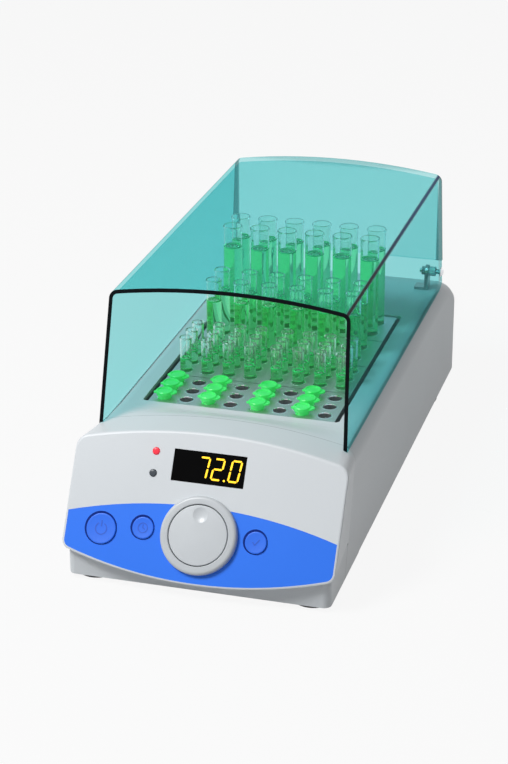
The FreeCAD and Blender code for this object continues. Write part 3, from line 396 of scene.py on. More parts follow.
# %% Lamp finishes
LAMP_RED = (226, 42, 62)
lamp_on = speckled("lamp_red", (205, 30, 52), LAMP_RED, 0.18, 200.0, 0.0,
                   emission_color=linear(*LAMP_RED), emission_strength=0.35)
lamp_off = speckled("lamp_dark", (46, 54, 62), (58, 66, 74), 0.2, 200.0, 0.0)
print("lamps:", lamp_on.material.name, lamp_off.material.name)

# %% [markdown]
# ## The clear cover
#
# The cover is one bent sheet of teal acrylic. What lies behind it is seen through a tint, so the
# sheet is a tinted Transparent shader, pale where it faces the eye and deeper where it slants and the
# path inside it is longer. A little of a glossy Principled shader is mixed over it for the shine.
# Clear plastic shows a nearly black line along every cut edge and fold, where light runs along inside
# the sheet and is lost. Those lines are masks in the mixing factor: one finds the saw cuts from the
# direction that the surface faces, and the others find the folds and the rear corners from their place.

# %% Acrylic
COVER_LOW, COVER_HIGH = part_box("cover")
FOLD_HALF = COVER_HIGH.x - 6.2 * MM
FOLD_HEIGHT = COVER_HIGH.z - 9.4 * MM
SHEET_TEAL, EDGE_DARK, EDGE_BLUE = linear(120, 226, 230), linear(8, 14, 18), linear(22, 70, 120)
TINT_FACING, TINT_SLANTED = (0.90, 0.97, 0.972), (0.45, 0.83, 0.84)
SHINE = 0.06

acrylic = Finish("tinted_acrylic", roughness=0.06, ior=1.49, specular_ior_level=0.06)
x, y, z = acrylic.parts(acrylic.point())
facing = acrylic.parts(acrylic.node("ShaderNodeTexCoord", out="Normal"))
cut_front = acrylic.fade(-1 * facing[1], 0.80, 0.92) * (y < COVER_LOW.y + 30 * MM)
cut_foot = acrylic.fade(-1 * facing[2], 0.9, 0.97) * (z < COVER_LOW.z + 22 * MM)
high_up = acrylic.fade(z, FOLD_HEIGHT - 0.6 * MM, FOLD_HEIGHT + 0.8 * MM)
fold_right = acrylic.fade(x, FOLD_HALF - 2.4 * MM, FOLD_HALF - 0.8 * MM) * high_up
fold_left = acrylic.fade(-1 * x, FOLD_HALF - 1.8 * MM, FOLD_HALF - 0.8 * MM) * high_up
at_back = acrylic.fade(y, COVER_HIGH.y - 3.6 * MM, COVER_HIGH.y - 2.6 * MM)
near_wall = acrylic.fade(abs(x), FOLD_HALF - 1.2 * MM, FOLD_HALF)
near_roof = acrylic.fade(z, COVER_HIGH.z - 9.0 * MM, COVER_HIGH.z - 3.0 * MM)
corners = at_back * acrylic.most(near_wall * 0.7, near_roof * 0.35)
dark = acrylic.most(cut_front, cut_foot * 0.9, fold_right, fold_left * 0.8, corners)
rearward = acrylic.fade(y, COVER_LOW.y + 60 * MM, COVER_HIGH.y - 60 * MM)
edge_colour = acrylic.mix(rearward * fold_right, EDGE_DARK, EDGE_BLUE)
acrylic.set(base_color=acrylic.mix(dark, SHEET_TEAL, edge_colour))
slant = acrylic.node("ShaderNodeLayerWeight", None, Blend=0.5, out="Facing")
pale, deep = (acrylic.node("ShaderNodeBsdfTransparent", None, Color=tint)
              for tint in (TINT_FACING, TINT_SLANTED))
film = acrylic.node("ShaderNodeMixShader", None, slant, pale, deep)
acrylic.show(acrylic.node("ShaderNodeMixShader", None, acrylic.most(dark, SHINE), film, acrylic.principled))
dress(acrylic, "cover")

# %% [markdown]
# ## Turned shapes
#
# Tubes, lids, caps, screws and feet are all round, so one helper makes them: it turns a half outline
# about an upright axis, as a lathe would. The outline is a list of distances from the axis and heights.
# Where a point lies on the axis, the ring shrinks to one vertex, so the pole is closed. Outlines are
# straight runs and arcs, so a second helper gives the points of an arc.

# %% A lathe
ON_AXIS = 1e-6
SHARP_ANGLE = math.radians(38)


def built(name, vertices, faces, finish):
    """An object made of these points, in metres, and faces."""
    mesh = bpy.data.meshes.new(name)
    mesh.from_pydata(vertices, [], faces)
    mesh.materials.append(finish.material)
    return shown(name, mesh)


def turned(name, outline, finish, steps=24):
    """An object turned from a half outline in millimetres; the outline runs up the outside."""
    vertices, faces, rings = [], [], []
    for radius, height in outline:
        if radius < ON_AXIS:
            rings.append([len(vertices)] * steps)
            vertices.append((0.0, 0.0, height * MM))
            continue
        rings.append([len(vertices) + step for step in range(steps)])
        for step in range(steps):
            angle = 2 * math.pi * step / steps
            vertices.append((radius * math.cos(angle) * MM, radius * math.sin(angle) * MM, height * MM))
    for low, high in zip(rings, rings[1:]):
        for step in range(steps):
            after = (step + 1) % steps
            ends = [low[step], low[after], high[after], high[step]]
            faces.append([end for i, end in enumerate(ends) if end not in ends[:i]])
    made = built(name, vertices, [face for face in faces if len(face) > 2], finish)
    made.data.shade_smooth()
    made.data.set_sharp_from_angle(angle=SHARP_ANGLE)
    return made


def arc(radius, start, end, steps, centre=(0.0, 0.0)):
    """Points along part of a circle, between two angles in degrees."""
    angles = [math.radians(start + (end - start) * step / steps) for step in range(steps + 1)]
    return [(centre[0] + radius * math.cos(a), centre[1] + radius * math.sin(a)) for a in angles]


def rounded(radius, top, edge, steps=5):
    """Outline points of a top whose outer edge is rounded."""
    return arc(edge, 0, 90, steps, (radius - edge, top - edge))


def flat_ring(inner, outer, low, high):
    """The closed outline of a flat ring."""
    return [(inner, low), (outer, low), (outer, high), (inner, high), (inner, low)]


def stood(made, place):
    """Put a shape's mesh in its place, so that the object itself stays at the origin."""
    made.data.transform(place)
    return made


def settled(made):
    """What an object's modifiers make of it, as a plain mesh."""
    bpy.context.view_layer.update()
    return bpy.data.meshes.new_from_object(made.evaluated_get(bpy.context.evaluated_depsgraph_get()))


def handed(made, body, slot, *replaced):
    """Say which body a piece moves with and which CAD nodes it stands for. The slot is not used."""
    for node in replaced:
        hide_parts(node)
    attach(made, body)
    print(made.name, "rides on", body)
    return made


# %% [markdown]
# ## The dial in its ring
#
# The dial is a flat disc that a finger turns by a dimple near its edge. The disc is turned on the
# lathe, and the dimple is cut by a Boolean modifier with a ball that dips a little way into it. The
# ball's radius follows from how wide and deep the dimple is. The ring round the disc is fixed, with a
# soft outer edge. The gap between them is in shade, and a black ring paints that shade.

# %% Dial, ring and gap
DIAL_RADIUS, DIAL_UNDER, DIAL_TOP = 22.6, 0.3, 4.8
SPINDLE_RADIUS, SPINDLE_FOOT = 3.0, -9.0
RING_BORE, RING_RADIUS, RING_TOP, RING_EDGE, BORE_EDGE = DIAL_RADIUS + 0.6, 29.6, 5.0, 2.6, 0.5
DIMPLE_UP, DIMPLE_RADIUS, DIMPLE_DEPTH = 15.2, 5.8, 1.2
BALL_RADIUS = (DIMPLE_RADIUS ** 2 + DIMPLE_DEPTH ** 2) / (2 * DIMPLE_DEPTH)
ROUND_STEPS = 96

disc_outline = [(0, SPINDLE_FOOT), (SPINDLE_RADIUS, SPINDLE_FOOT), (SPINDLE_RADIUS, DIAL_UNDER),
                (DIAL_RADIUS, DIAL_UNDER), *rounded(DIAL_RADIUS, DIAL_TOP, 0.8), (0, DIAL_TOP)]
disc = turned("turned_dial", disc_outline, disc_finish, ROUND_STEPS)
ball = turned("dimple_ball", arc(BALL_RADIUS, -90, 90, 48), disc_finish, 64)
stood(ball, Matrix.Translation(Vector((0, DIMPLE_UP, DIAL_TOP - DIMPLE_DEPTH + BALL_RADIUS)) * MM))
dip = disc.modifiers.new("dimple", "BOOLEAN")
dip.operation, dip.object = "DIFFERENCE", ball
dished = settled(disc)
disc.modifiers.clear()
disc.data = dished
dished.set_sharp_from_angle(angle=math.radians(12))
bpy.data.objects.remove(ball)
handed(stood(disc, on_face(0, 0)), "dial", "button_plastic", "dial")

ring_outline = [(RING_BORE, 0.0), (RING_RADIUS, 0.0), *rounded(RING_RADIUS, RING_TOP, RING_EDGE, 8),
                (RING_BORE + BORE_EDGE, RING_TOP), (RING_BORE, RING_TOP - BORE_EDGE), (RING_BORE, 0.0)]
handed(stood(turned("turned_bezel", ring_outline, ring_finish, ROUND_STEPS), on_face(0, 0)),
       "casing", "bezel_plastic", "dial_bezel")
# Painted shade: a black ring fills the gap between the dial and its ring, where shade falls.
painted_gap_shade = speckled("painted_gap_shade", (2, 2, 2), (6, 6, 6), 0.8, 400.0, 0.0, specular_ior_level=0.0)
gap_outline = flat_ring(DIAL_RADIUS - 1.0, RING_BORE - 0.05, 0.05, 0.25)
handed(stood(turned("dial_gap", gap_outline, painted_gap_shade, ROUND_STEPS), on_face(0, 0)),
       "casing", "black_plastic")
print("dial:", len(dished.polygons), "faces")

# %% [markdown]
# ## Buttons
#
# Each button is a round cap with a flange behind the face and a stem down to its switch. It sits in a
# shallow recess whose upper left wall is in shade. That shade is painted: a dark ring round the cap,
# with its outer edge moved that way, so that it is a crescent.

# %% Buttons
BUTTONS = {"power": (-76.3, 17.3 - KNOB_UP, 11.6), "timer": (-43.9, 21.8 - KNOB_UP, 8.3),
           "set": (43.9, 21.8 - KNOB_UP, 8.3)}
BUTTON_TOP, BUTTON_EDGE, BUTTON_STEPS = 1.6, 0.7, 64
STEM_RADIUS, STEM_FOOT = 2.4, -12.5
FLANGE_OUT, FLANGE_LOW, FLANGE_HIGH = 1.5, -4.5, -3.3
RECESS_IN, RECESS_MIDDLE, RECESS_OUT = 0.15, 0.5, 1.1
SHADE_SHIFT = Vector((-0.75, 0.55, 0.0)) * MM

button_blue = speckled("button_blue", (30, 104, 230), (36, 112, 238), 0.34, 1800.0, 0.04)
# Painted shade: the darker blue ring stands for the shaded upper left wall of the recess.
shade_ring_blue = speckled("shade_ring_blue", (10, 36, 112), (14, 46, 130), 0.6, 400.0, 0.0, specular_ior_level=0.1)
for word, (across, up, radius) in BUTTONS.items():
    cap = [(0, STEM_FOOT), (STEM_RADIUS, STEM_FOOT), (STEM_RADIUS, FLANGE_LOW),
           (radius + FLANGE_OUT, FLANGE_LOW), (radius + FLANGE_OUT, FLANGE_HIGH), (radius, FLANGE_HIGH),
           *rounded(radius, BUTTON_TOP, BUTTON_EDGE), (radius - 1.2, BUTTON_TOP - 0.05),
           (0, BUTTON_TOP - 0.25)]
    made = stood(turned(word + "_cap", cap, button_blue, BUTTON_STEPS), on_face(across, up))
    handed(made, word + "_button", "overlay_blue", word + "_button")
    crescent = flat_ring(radius + RECESS_IN, radius + RECESS_OUT, 0.01, 0.05)
    made = turned(word + "_recess", crescent, shade_ring_blue, BUTTON_STEPS)
    for vertex in made.data.vertices:
        if vertex.co.xy.length > (radius + RECESS_MIDDLE) * MM:
            vertex.co += SHADE_SHIFT
    handed(stood(made, on_face(across, up)), "casing", "overlay_blue")

# %% [markdown]
# ## Lamp domes
#
# Each lamp is a clear body behind the face with a low dome in front. Its colour is already in its
# finish, so only the outline is left to draw.

# %% Lamp domes
LAMPS = {"status": (80.3 - KNOB_UP, lamp_on, "led_red"), "heating": (63.6 - KNOB_UP, lamp_off, "led_dark")}
LAMP_ACROSS, LAMP_RADIUS, LAMP_FOOT, LAMP_TOP = -42.5, 2.8, -15.0, 1.0
for word, (up, finish, slot) in LAMPS.items():
    dome = [(0, LAMP_FOOT), (LAMP_RADIUS, LAMP_FOOT), *rounded(LAMP_RADIUS, LAMP_TOP, 0.9),
            (0, LAMP_TOP + 0.15)]
    made = stood(turned(word + "_dome", dome, finish, 32), on_face(LAMP_ACROSS, up))
    handed(made, "casing", slot, word + "_led")

# %% [markdown]
# ## The hinge's bright screws
#
# The cover turns on two screws. Only the right head is seen in the photograph, a bright stud with a
# domed cap. The lathe makes one, and a quarter turn about Y lays it along the hinge's axis.

# %% Hinge screws
HEAD_RADIUS, HEAD_DEPTH, SHANK_RADIUS, SHANK_LENGTH = 4.2, 2.8, 2.0, 18.0
SCREW_LENGTH = SHANK_LENGTH + HEAD_DEPTH
screw = [(0, 0), (SHANK_RADIUS, 0), (SHANK_RADIUS, SHANK_LENGTH), (HEAD_RADIUS - 0.3, SHANK_LENGTH),
         (HEAD_RADIUS, SHANK_LENGTH + 0.3), (HEAD_RADIUS, SHANK_LENGTH + 0.9),
         (HEAD_RADIUS - 0.9, SHANK_LENGTH + 1.1), *rounded(HEAD_RADIUS - 1.0, SCREW_LENGTH, 1.5)[1:],
         (0, SCREW_LENGTH)]
screw_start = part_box("pivot_screws")[1].x - SCREW_LENGTH * MM
_, hinge_y, hinge_z = joint_named("cover_hinge")["pos_m"]
for word, side in (("left", -1), ("right", 1)):
    place = Matrix.Translation((side * screw_start, hinge_y, hinge_z))
    made = turned("hinge_screw_" + word, screw, bright, 32)
    handed(stood(made, place @ Matrix.Rotation(side * math.pi / 2, 4, "Y")),
           "casing", "bright_screw", "pivot_screws")

# %% [markdown]
# ## A recipe for Geometry Nodes
#
# A Geometry Nodes tree is worth its trouble where one rule makes many pieces. The class below starts a
# tree with named inputs, makes nodes the way the shader trees do, and runs the finished tree on an
# empty holder. The result is kept as a plain mesh, and the holder with its modifier is removed.

# %% Recipes


class Recipe:
    """A Geometry Nodes tree with named inputs."""

    def __init__(self, name, inputs):
        self.tree = bpy.data.node_groups.new(name, "GeometryNodeTree")
        self.tree.interface.new_socket("Geometry", in_out="OUTPUT", socket_type="NodeSocketGeometry")
        self.identifiers = {}
        for word, kind in inputs.items():
            socket = self.tree.interface.new_socket(word, in_out="INPUT", socket_type=kind)
            self.identifiers[word] = socket.identifier
        self.start = self.tree.nodes.new("NodeGroupInput")
        self.end = self.tree.nodes.new("NodeGroupOutput")

    def node(self, kind, settings=None, **sockets):
        """A node whose sockets are filled by name, or by position as socket_3."""
        made = self.tree.nodes.new(kind)
        for setting, value in (settings or {}).items():
            setattr(made, setting, value)
        for word, value in sockets.items():
            key = int(word[7:]) if word.startswith("socket_") else word.replace("_", " ")
            if isinstance(value, bpy.types.NodeSocket):
                self.tree.links.new(value, made.inputs[key])
            else:
                made.inputs[key].default_value = value
        return made

    def maths(self, operation, *values):
        sockets = {"socket_%d" % index: value for index, value in enumerate(values)}
        return self.node("ShaderNodeMath", {"operation": operation}, **sockets).outputs[0]

    def given(self, word):
        return self.start.outputs[word]

    def finish(self, geometry):
        self.tree.links.new(geometry, self.end.inputs[0])

    def make(self, name, **values):
        """Run the tree with these inputs and keep the result as a plain mesh object."""
        holder = shown(name + "_recipe", bpy.data.meshes.new(name + "_recipe"))
        modifier = holder.modifiers.new("recipe", "NODES")
        modifier.node_group = self.tree
        for word, value in values.items():
            modifier[self.identifiers[word.replace("_", " ")]] = value
        mesh = settled(holder)
        mesh.name = name
        bpy.data.objects.remove(holder)
        return shown(name, mesh)


# %% [markdown]
# ## A rack made with Geometry Nodes
#
# Each block holds a regular pattern of wells, so the tubes are one shape stamped at every well. The
# node tree below lays out a grid, opens a wider gap down its middle where the block has one, keeps
# only every so many columns, and stamps the shape there with a small random turn. Realize Instances
# makes it real geometry, and Set Material gives it its finish. The same tree serves tubes, liquid,
# microtubes, feet and the bright rims of the wells, because its sizes are inputs.

# %% The rack tree
rack = Recipe("rack", {
    "Stamp": "NodeSocketObject", "Columns": "NodeSocketInt", "Rows": "NodeSocketInt",
    "Column Pitch": "NodeSocketFloat", "Row Pitch": "NodeSocketFloat", "Middle Gap": "NodeSocketFloat",
    "Column Step": "NodeSocketFloat", "Place": "NodeSocketVector",
    "Turn Spread": "NodeSocketFloat", "Seed": "NodeSocketInt", "Finish": "NodeSocketMaterial"})
given, maths = rack.given, rack.maths
width = maths("MULTIPLY", given("Column Pitch"), maths("SUBTRACT", given("Columns"), 1.0))
depth = maths("MULTIPLY", given("Row Pitch"), maths("SUBTRACT", given("Rows"), 1.0))
grid = rack.node("GeometryNodeMeshGrid", Size_X=width, Size_Y=depth, Vertices_X=given("Columns"),
                 Vertices_Y=given("Rows"))
position = rack.node("GeometryNodeInputPosition").outputs[0]
across = rack.node("ShaderNodeSeparateXYZ", socket_0=position).outputs[0]
shift = maths("MULTIPLY", maths("SIGN", across), maths("MULTIPLY", given("Middle Gap"), 0.5))
offset = rack.node("ShaderNodeVectorMath", {"operation": "ADD"}, socket_1=given("Place"),
                   socket_0=rack.node("ShaderNodeCombineXYZ", X=shift).outputs[0]).outputs[0]
index = rack.node("GeometryNodeInputIndex").outputs[0]
column = maths("FLOOR", maths("DIVIDE", maths("ADD", index, 0.5), given("Rows")))
kept = maths("COMPARE", maths("MODULO", column, given("Column Step")), 0.0, 0.1)
spots = rack.node("GeometryNodeSetPosition", Geometry=grid.outputs["Mesh"], Offset=offset)
stamp = rack.node("GeometryNodeObjectInfo", Object=given("Stamp"))
random_turn = rack.node("FunctionNodeRandomValue", {"data_type": "FLOAT"},
                        socket_2=maths("MULTIPLY", given("Turn Spread"), -1.0),
                        socket_3=given("Turn Spread"), Seed=given("Seed")).outputs[1]
stamped = rack.node("GeometryNodeInstanceOnPoints", Points=spots.outputs[0], Selection=kept,
                    Instance=stamp.outputs["Geometry"],
                    Rotation=rack.node("ShaderNodeCombineXYZ", Z=random_turn).outputs[0])
real = rack.node("GeometryNodeRealizeInstances", Geometry=stamped.outputs[0])
finished = rack.node("GeometryNodeSetMaterial", Geometry=real.outputs[0], Material=given("Finish"))
rack.finish(finished.outputs[0])


def stamp_rack(name, stamp_object, over, height, layout, finish, step=1.0, spread=0.0, seed=1):
    """Stamp a shape in rows over the middle of a CAD node, then drop the shape itself."""
    low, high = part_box(over)
    place = (low.x + high.x) / 2, (low.y + high.y) / 2, height
    made = rack.make(name, Stamp=stamp_object, Place=place, Column_Step=step, Turn_Spread=spread,
                     Seed=seed, Finish=finish.material, **layout)
    bpy.data.objects.remove(stamp_object)
    print(name, len(made.data.polygons), "faces")
    return made


print("rack tree:", len(rack.tree.nodes), "nodes")

# %% [markdown]
# ## Round feet
#
# Four rubber feet stand at the corners of a rectangle, which is a rack of two columns and two rows.
# Its pitches come from the box of the CAD feet. Each foot has a hollow for its screw.

# %% Round feet
foot_low, foot_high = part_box("feet")
FOOT_RADIUS = 16.5
foot_layout = {"Columns": 2, "Rows": 2, "Column_Pitch": foot_high.x - foot_low.x - 2 * FOOT_RADIUS * MM,
               "Row_Pitch": foot_high.y - foot_low.y - 2 * FOOT_RADIUS * MM, "Middle_Gap": 0.0}
foot_outline = [(2.2, 2.0), (4.2, 2.0), (4.2, 0.0), (FOOT_RADIUS - 1.4, 0.0), (FOOT_RADIUS - 0.4, 0.4),
                (FOOT_RADIUS, 1.4), (FOOT_RADIUS, 4.0), (2.2, 4.0), (2.2, 2.0)]
feet = stamp_rack("round_feet", turned("foot", foot_outline, rubber, 48), "feet", 0.0, foot_layout, rubber)
handed(feet, "casing", "foot_rubber", "feet")

# %% [markdown]
# ## Rims of the wells
#
# Each well is bored after the block is blasted, so its chamfer is bright. A thin ring round every
# well shows that line. The two fine blocks share one layout and the two coarse ones another.

# %% Rims of the wells
BLOCK_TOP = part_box("large_tube_block")[1].z
FINE = {"Columns": 8, "Rows": 3, "Column_Pitch": 18.0 * MM, "Row_Pitch": 16.7 * MM, "Middle_Gap": 4.2 * MM}
COARSE = {"Columns": 6, "Rows": 2, "Column_Pitch": 23.8 * MM, "Row_Pitch": 24.3 * MM, "Middle_Gap": 0.0}
WELLS = {"microtube_block": (5.5, FINE), "small_tube_block": (5.1, FINE),
         "medium_tube_block": (6.6, COARSE), "large_tube_block": (8.2, COARSE)}
RIM_DEPTH = -0.6
for block, (radius, layout) in WELLS.items():
    rim = [(radius - 0.3, RIM_DEPTH), (radius - 0.1, 0.06), (radius + 0.35, 0.12), (radius + 0.6, 0.0),
           (radius + 0.6, RIM_DEPTH), (radius - 0.3, RIM_DEPTH)]
    rims = stamp_rack(block + "_rims", turned("rim", rim, bright), block, BLOCK_TOP, layout, bright)
    handed(rims, "casing", "aluminium")

# %% [markdown]
# ## Glass and liquid
#
# Each tube is filled to a little below its rim. Glass with liquid in it is nearly one body to the
# light, so the filled stretch is a solid form with one surface, and the empty neck above it has a real
# wall with a fire-polished bead at the rim. The liquid's surface climbs the wall a little, and that
# meniscus shows as a bright green ring. The liquid and the ring carry a faint painted glow.

# %% Glass and liquid


def glowing(name, low, high, glow, strength, scale=60.0, detail=2.0, **fixed):
    """Two screen colours mixed by a soft noise, with a faint painted glow."""
    finish = Finish(name, emission_color=linear(*glow), emission_strength=strength, **fixed)
    return finish.set(base_color=finish.mix(finish.noise(scale, detail), linear(*low), linear(*high)))


glass = Finish("tube_glass", base_color=linear(244, 252, 248), ior=1.40, transmission_weight=1.0)
glass.set(roughness=0.015 + glass.noise(220.0) * 0.03)
# The liquid's faint emission is painted light that brightens it.
liquid = glowing("green_liquid", (136, 232, 168), (158, 240, 188), (110, 225, 150), 0.04,
                 roughness=0.03, ior=1.33, transmission_weight=0.96)
# The meniscus ring's faint emission is painted light.
meniscus = glowing("meniscus_green", (40, 196, 96), (66, 222, 124), (60, 230, 120), 0.06,
                   roughness=0.12, ior=1.38)
print("wet finishes:", glass.material.name, liquid.material.name, meniscus.material.name)

# %% [markdown]
# ## Tubes in their blocks
#
# The three outlines of a tube share one bore, radius and level, so that the neck stands on the liquid
# and the ring hides the line between them. A tube's radius and length come from the box of the CAD
# tubes, less the pitches of their layout. The rack stamps each outline over the block.

# %% Tubes in their blocks
EMPTY_NECK, GLASS_WALL = 18.0, 1.0


def tube_rack(kind, layout):
    """The glass necks, the filled stretches and the liquid lines of one block's tubes."""
    node, block = kind + "_tubes", kind + "_tube_block"
    low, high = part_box(node)
    pitches = (layout["Columns"] - 1) * layout["Column_Pitch"]
    radius = ((high.x - low.x) - pitches - layout["Middle_Gap"]) / 2 / MM
    length = (high.z - low.z) / MM
    level, bore = length - EMPTY_NECK, radius - GLASS_WALL
    body = [*arc(radius, -90, 0, 5, (0.0, radius + 0.4)), (radius, level), (bore, level),
            (bore - 0.35, level - 0.1), (bore - 1.0, level - 0.7), (0.0, level - 0.9)]
    neck = [(bore, level - 0.02), (radius, level - 0.02), (radius, length - 2.4),
            (radius + 0.35, length - 1.9), (radius + 0.5, length - 1.0), (radius + 0.25, length - 0.25),
            (radius - 0.3, length), (bore + 0.1, length - 0.3), (bore, length - 0.9),
            (bore, level - 0.02)]
    line = [(bore - 1.1, level - 0.1), (radius + 0.05, level - 0.5), (radius + 0.08, level + 0.4),
            (bore, level + 0.5), (bore - 1.1, level - 0.1)]
    for word, outline, finish in (("glass", neck, glass), ("liquid", body, liquid),
                                  ("meniscus", line, meniscus)):
        part = stamp_rack("%s_tube_%s" % (kind, word), turned(word, outline, finish), block, low.z,
                          layout, finish)
        handed(part, "casing", "tube_glass", node)


tube_rack("small", FINE)
tube_rack("medium", COARSE)
tube_rack("large", COARSE)

# %% [markdown]
# ## Flat shapes
#
# Tabs, digits and signs are flat outlines with a little thickness. The helper below gives an outline a
# floor, a roof and walls. It first works out which way round the outline runs, from the sign of its
# area, so that every face points outwards.

# %% Flat shapes


def flat_shapes(name, outlines, place, thick, finish):
    """Flat outlines in millimetres with a little thickness, put in their place by a matrix."""
    vertices, faces = [], []
    for outline in outlines:
        first, count = len(vertices), len(outline)
        vertices += [place @ Vector((u * MM, v * MM, h * MM)) for h in (0.0, thick) for u, v in outline]
        area = sum(a[0] * b[1] - b[0] * a[1] for a, b in zip(outline, outline[1:] + outline[:1]))
        order = list(range(count))[::-1 if area < 0 else 1]
        faces.append([first + i for i in order[::-1]])
        faces.append([first + count + i for i in order])
        for i, j in zip(order, order[1:] + order[:1]):
            faces.append([first + i, first + j, first + count + j, first + count + i])
    return built(name, vertices, faces, finish)


# %% [markdown]
# ## Lidded microtubes
#
# A microtube has a flat lid with a raised rim, a thumb tab to one side and a thin strap to the other.
# All of it is moulded at once in a bright green plastic that lets some light through. Part of that is
# real, a little transmission, and part is a faint painted glow. The lid is turned, and the tab and the
# strap are small flat outlines with rounded ends, joined to it. They fill every second column, each
# with a small turn of its own.

# %% Microtubes
# Painted glow: the lids' faint emission stands in for light that comes through the green plastic.
lid_green = glowing("microtube_green", (36, 226, 92), (96, 250, 140), (60, 240, 110), 0.12, 120.0, 3.0,
                    roughness=0.28, ior=1.48, transmission_weight=0.25)


def flat_tab(name, reach, half_width, low, high, direction):
    """A tab that runs out from the middle along X and ends in a half round."""
    end = arc(half_width, 90, -90, 8, (reach - half_width, 0.0))
    outline = [(direction * u, v) for u, v in [(0.0, half_width), *end, (0.0, -half_width)]]
    return flat_shapes(name, [outline], Matrix.Translation((0, 0, low * MM)), high - low, lid_green)


def joined(name, *objects):
    """Several objects as one."""
    with bpy.context.temp_override(active_object=objects[0], selected_editable_objects=list(objects)):
        bpy.ops.object.join()
    objects[0].name = name
    return objects[0]


TUBE_RADIUS, LID_RADIUS, LID_UNDER, LID_TOP = 5.2, 6.8, 4.0, 6.2
lid_outline = [(0, -30), (2.0, -29.4), (TUBE_RADIUS - 0.6, -10), (TUBE_RADIUS, 0),
               (TUBE_RADIUS, LID_UNDER - 1.6), (LID_RADIUS - 0.5, LID_UNDER - 1.5),
               (LID_RADIUS - 0.3, LID_UNDER - 0.2), (LID_RADIUS, LID_UNDER), (LID_RADIUS, LID_TOP - 0.4),
               (LID_RADIUS - 0.4, LID_TOP), (LID_RADIUS - 1.4, LID_TOP), (LID_RADIUS - 1.7, LID_TOP - 0.7),
               (0, LID_TOP - 0.6)]
lid = turned("lid", lid_outline, lid_green, 28)
tab = flat_tab("tab", LID_RADIUS + 3.2, 3.8, LID_UNDER, LID_UNDER + 1.1, 1)
strap = flat_tab("strap", LID_RADIUS + 2.0, 1.5, LID_UNDER - 0.6, LID_UNDER + 0.4, -1)
microtubes = stamp_rack("microtube_set", joined("lid", lid, tab, strap), "microtube_block", BLOCK_TOP, FINE,
                        lid_green, step=2.0, spread=0.14, seed=7)
handed(microtubes, "casing", "microtube_green", "microtubes")

# %% [markdown]
# ## Digits in the window
#
# The window shows a temperature in seven-segment digits that lean a little to the right, as such
# displays do. Each segment is a six-sided bar. Which bars glow for which digit is a small table of
# letters. The bars lie just in front of the black window and light themselves.

# %% Seven-segment digits
DIGIT_WIDTH, DIGIT_HEIGHT, STROKE, LEAN = 8.6, 17.0, 1.4, math.tan(math.radians(7))
DIGITS = (("7", -4.4), ("2", 7.0), ("0", 20.4))
POINT_RADIUS, POINT_PLACE = 0.85, (12.8, -DIGIT_HEIGHT / 2 + 0.7)
SEGMENTS = {"a": (0, 1, 1, 1), "b": (1, 1, 1, 0.5), "c": (1, 0.5, 1, 0), "d": (0, 0, 1, 0),
            "e": (0, 0.5, 0, 0), "f": (0, 1, 0, 0.5), "g": (0, 0.5, 1, 0.5)}
LIT = {"7": "abc", "2": "abged", "0": "abcdef"}
WINDOW_UP, DIGITS_OUT, DIGITS_THICK = 72.0 - KNOB_UP, 0.03, 0.06
END_GAP = 0.18

glow = Finish("digit_glow", base_color=linear(250, 190, 20), roughness=0.5,
              emission_color=linear(255, 204, 20), emission_strength=0.9)


def bar(start, end, width):
    """A flat bar with pointed ends between two points, a hair short of both."""
    start, end = Vector(start), Vector(end)
    along = (end - start).normalized()
    side = Vector((-along.y, along.x)) * width / 2
    start, end = start + along * width * END_GAP, end - along * width * END_GAP
    shoulder = along * width / 2
    return [start, start + shoulder + side, end - shoulder + side, end, end - shoulder - side,
            start + shoulder - side]


def digit_outlines(character, centre):
    """Outlines of the lit bars of one digit, leaning."""
    for letter in LIT[character]:
        x0, y0, x1, y1 = SEGMENTS[letter]
        ends = [((u - 0.5) * (DIGIT_WIDTH - STROKE), (v - 0.5) * (DIGIT_HEIGHT - STROKE))
                for u, v in ((x0, y0), (x1, y1))]
        yield [(p.x + p.y * LEAN + centre, p.y) for p in bar(*ends, STROKE)]


outlines = [shape for character, centre in DIGITS for shape in digit_outlines(character, centre)]
outlines.append(arc(POINT_RADIUS, 0, 330, 11, POINT_PLACE))
digits = flat_shapes("display_digits", outlines, on_face(0, WINDOW_UP, DIGITS_OUT), DIGITS_THICK, glow)
handed(digits, "casing", "window_dark")
print("digits:", len(outlines), "lit shapes")

# %% [markdown]
# ## Signs on the buttons
#
# The buttons carry simple pressed signs in their own blue, only a shade darker: a power sign on the
# large one, a clock on the timer and a tick on the set button. Each sign is drawn from arcs and bars in
# the button's own plane.

# %% Button signs
SIGN_DEPTH = 0.2
sign_blue = speckled("sign_blue", (26, 84, 196), (34, 94, 210), 0.4, 400.0, 0.0)


def arc_band(radius, width, start, end):
    """A band along part of a circle, as one outline."""
    return arc(radius + width / 2, start, end, 24) + arc(radius - width / 2, end, start, 24)


def stroke(start, end, width):
    """A plain bar between two points."""
    start, end = Vector(start), Vector(end)
    side = (end - start).normalized().orthogonal() * width / 2
    return [tuple(start + side), tuple(end + side), tuple(end - side), tuple(start - side)]


def sign(word, *shapes):
    """A sign in the top of one button's cap."""
    across, up, _ = BUTTONS[word]
    made = flat_shapes(word + "_sign", shapes, on_face(across, up, BUTTON_TOP - SIGN_DEPTH), SIGN_DEPTH,
                       sign_blue)
    handed(made, word + "_button", "overlay_blue")


sign("power", arc_band(4.4, 0.9, 120, 420), stroke((0, 1.6), (0, 6.2), 0.9))
sign("timer", arc_band(3.6, 0.7, 0, 180), arc_band(3.6, 0.7, 180, 360), stroke((0, 0), (0, 2.6), 0.6),
     stroke((0, 0), (1.7, -0.9), 0.6))
sign("set", stroke((-2.4, 0.2), (-0.6, -1.9), 0.8), stroke((-0.6, -1.9), (2.8, 2.6), 0.8))

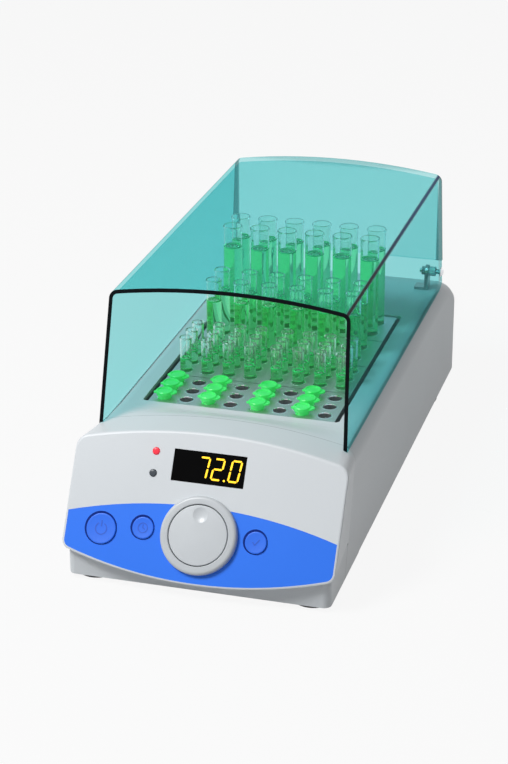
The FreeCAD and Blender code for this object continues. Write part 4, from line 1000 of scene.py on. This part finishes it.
# %% [markdown]
# ## Floor and background
#
# The photograph is cut out on white, so the floor and the world are plain white to the camera, and to
# rays that reach them by way of gloss or glass. To all other rays they are dimmer, so the pale casing
# keeps its shading. The floor keeps a little of its own shader, and with it the object's soft shadow.

# %% Floor and world
FLOOR_HALF, FLOOR_WHITE, FILL = 6.0, 0.91, 0.26

floor_finish = Finish("floor_white", base_color=(0.5, 0.5, 0.5), roughness=0.9, specular_ior_level=0.0)
white = floor_finish.node("ShaderNodeEmission")
floor_finish.show(floor_finish.node("ShaderNodeMixShader", None, floor_finish.seen() * FLOOR_WHITE,
                                    floor_finish.principled, white))
floor_corners = [(x * FLOOR_HALF, y * FLOOR_HALF, 0) for x, y in ((-1, -1), (1, -1), (1, 1), (-1, 1))]
floor = built("floor", floor_corners, [(0, 1, 2, 3)], floor_finish)

world = bpy.data.worlds.new("studio")
bpy.context.scene.world = world
world.use_nodes = True
sky = Tree(world.node_tree, "ShaderNodeOutputWorld")
strength = sky.node("ShaderNodeMapRange", None, sky.seen(), 0.0, 1.0, FILL, 1.0)
sky.show(sky.node("ShaderNodeBackground", None, (1, 1, 1), strength))
print("floor and world:", len(floor_finish.tree.nodes), "and", len(sky.tree.nodes), "nodes")

# %% [markdown]
# ## Lamps
#
# One large lamp from the upper left gives the shapes their light side and leaves the right wall in
# shade. A weak one behind the object draws a line of light along the rear edges. The world fills in
# the rest.

# %% Lamps
LAMP_TARGET = Vector((0.0, -0.02, 0.08))


def lamp(name, place, size, watts):
    """A square soft lamp that points at the object."""
    data = bpy.data.lights.new(name, "AREA")
    data.size, data.energy = size, watts
    aim = (Vector(place) - LAMP_TARGET).to_track_quat("Z", "Y").to_matrix().to_4x4()
    shown(name, data).matrix_world = Matrix.Translation(place) @ aim
    print(name, watts, "W")


lamp("key_lamp", (-0.85, -0.95, 1.60), 0.6, 34.0)
lamp("rear_lamp", (1.3, 1.5, 0.9), 0.8, 1.5)
bpy.context.scene.view_settings.view_transform = "Standard"
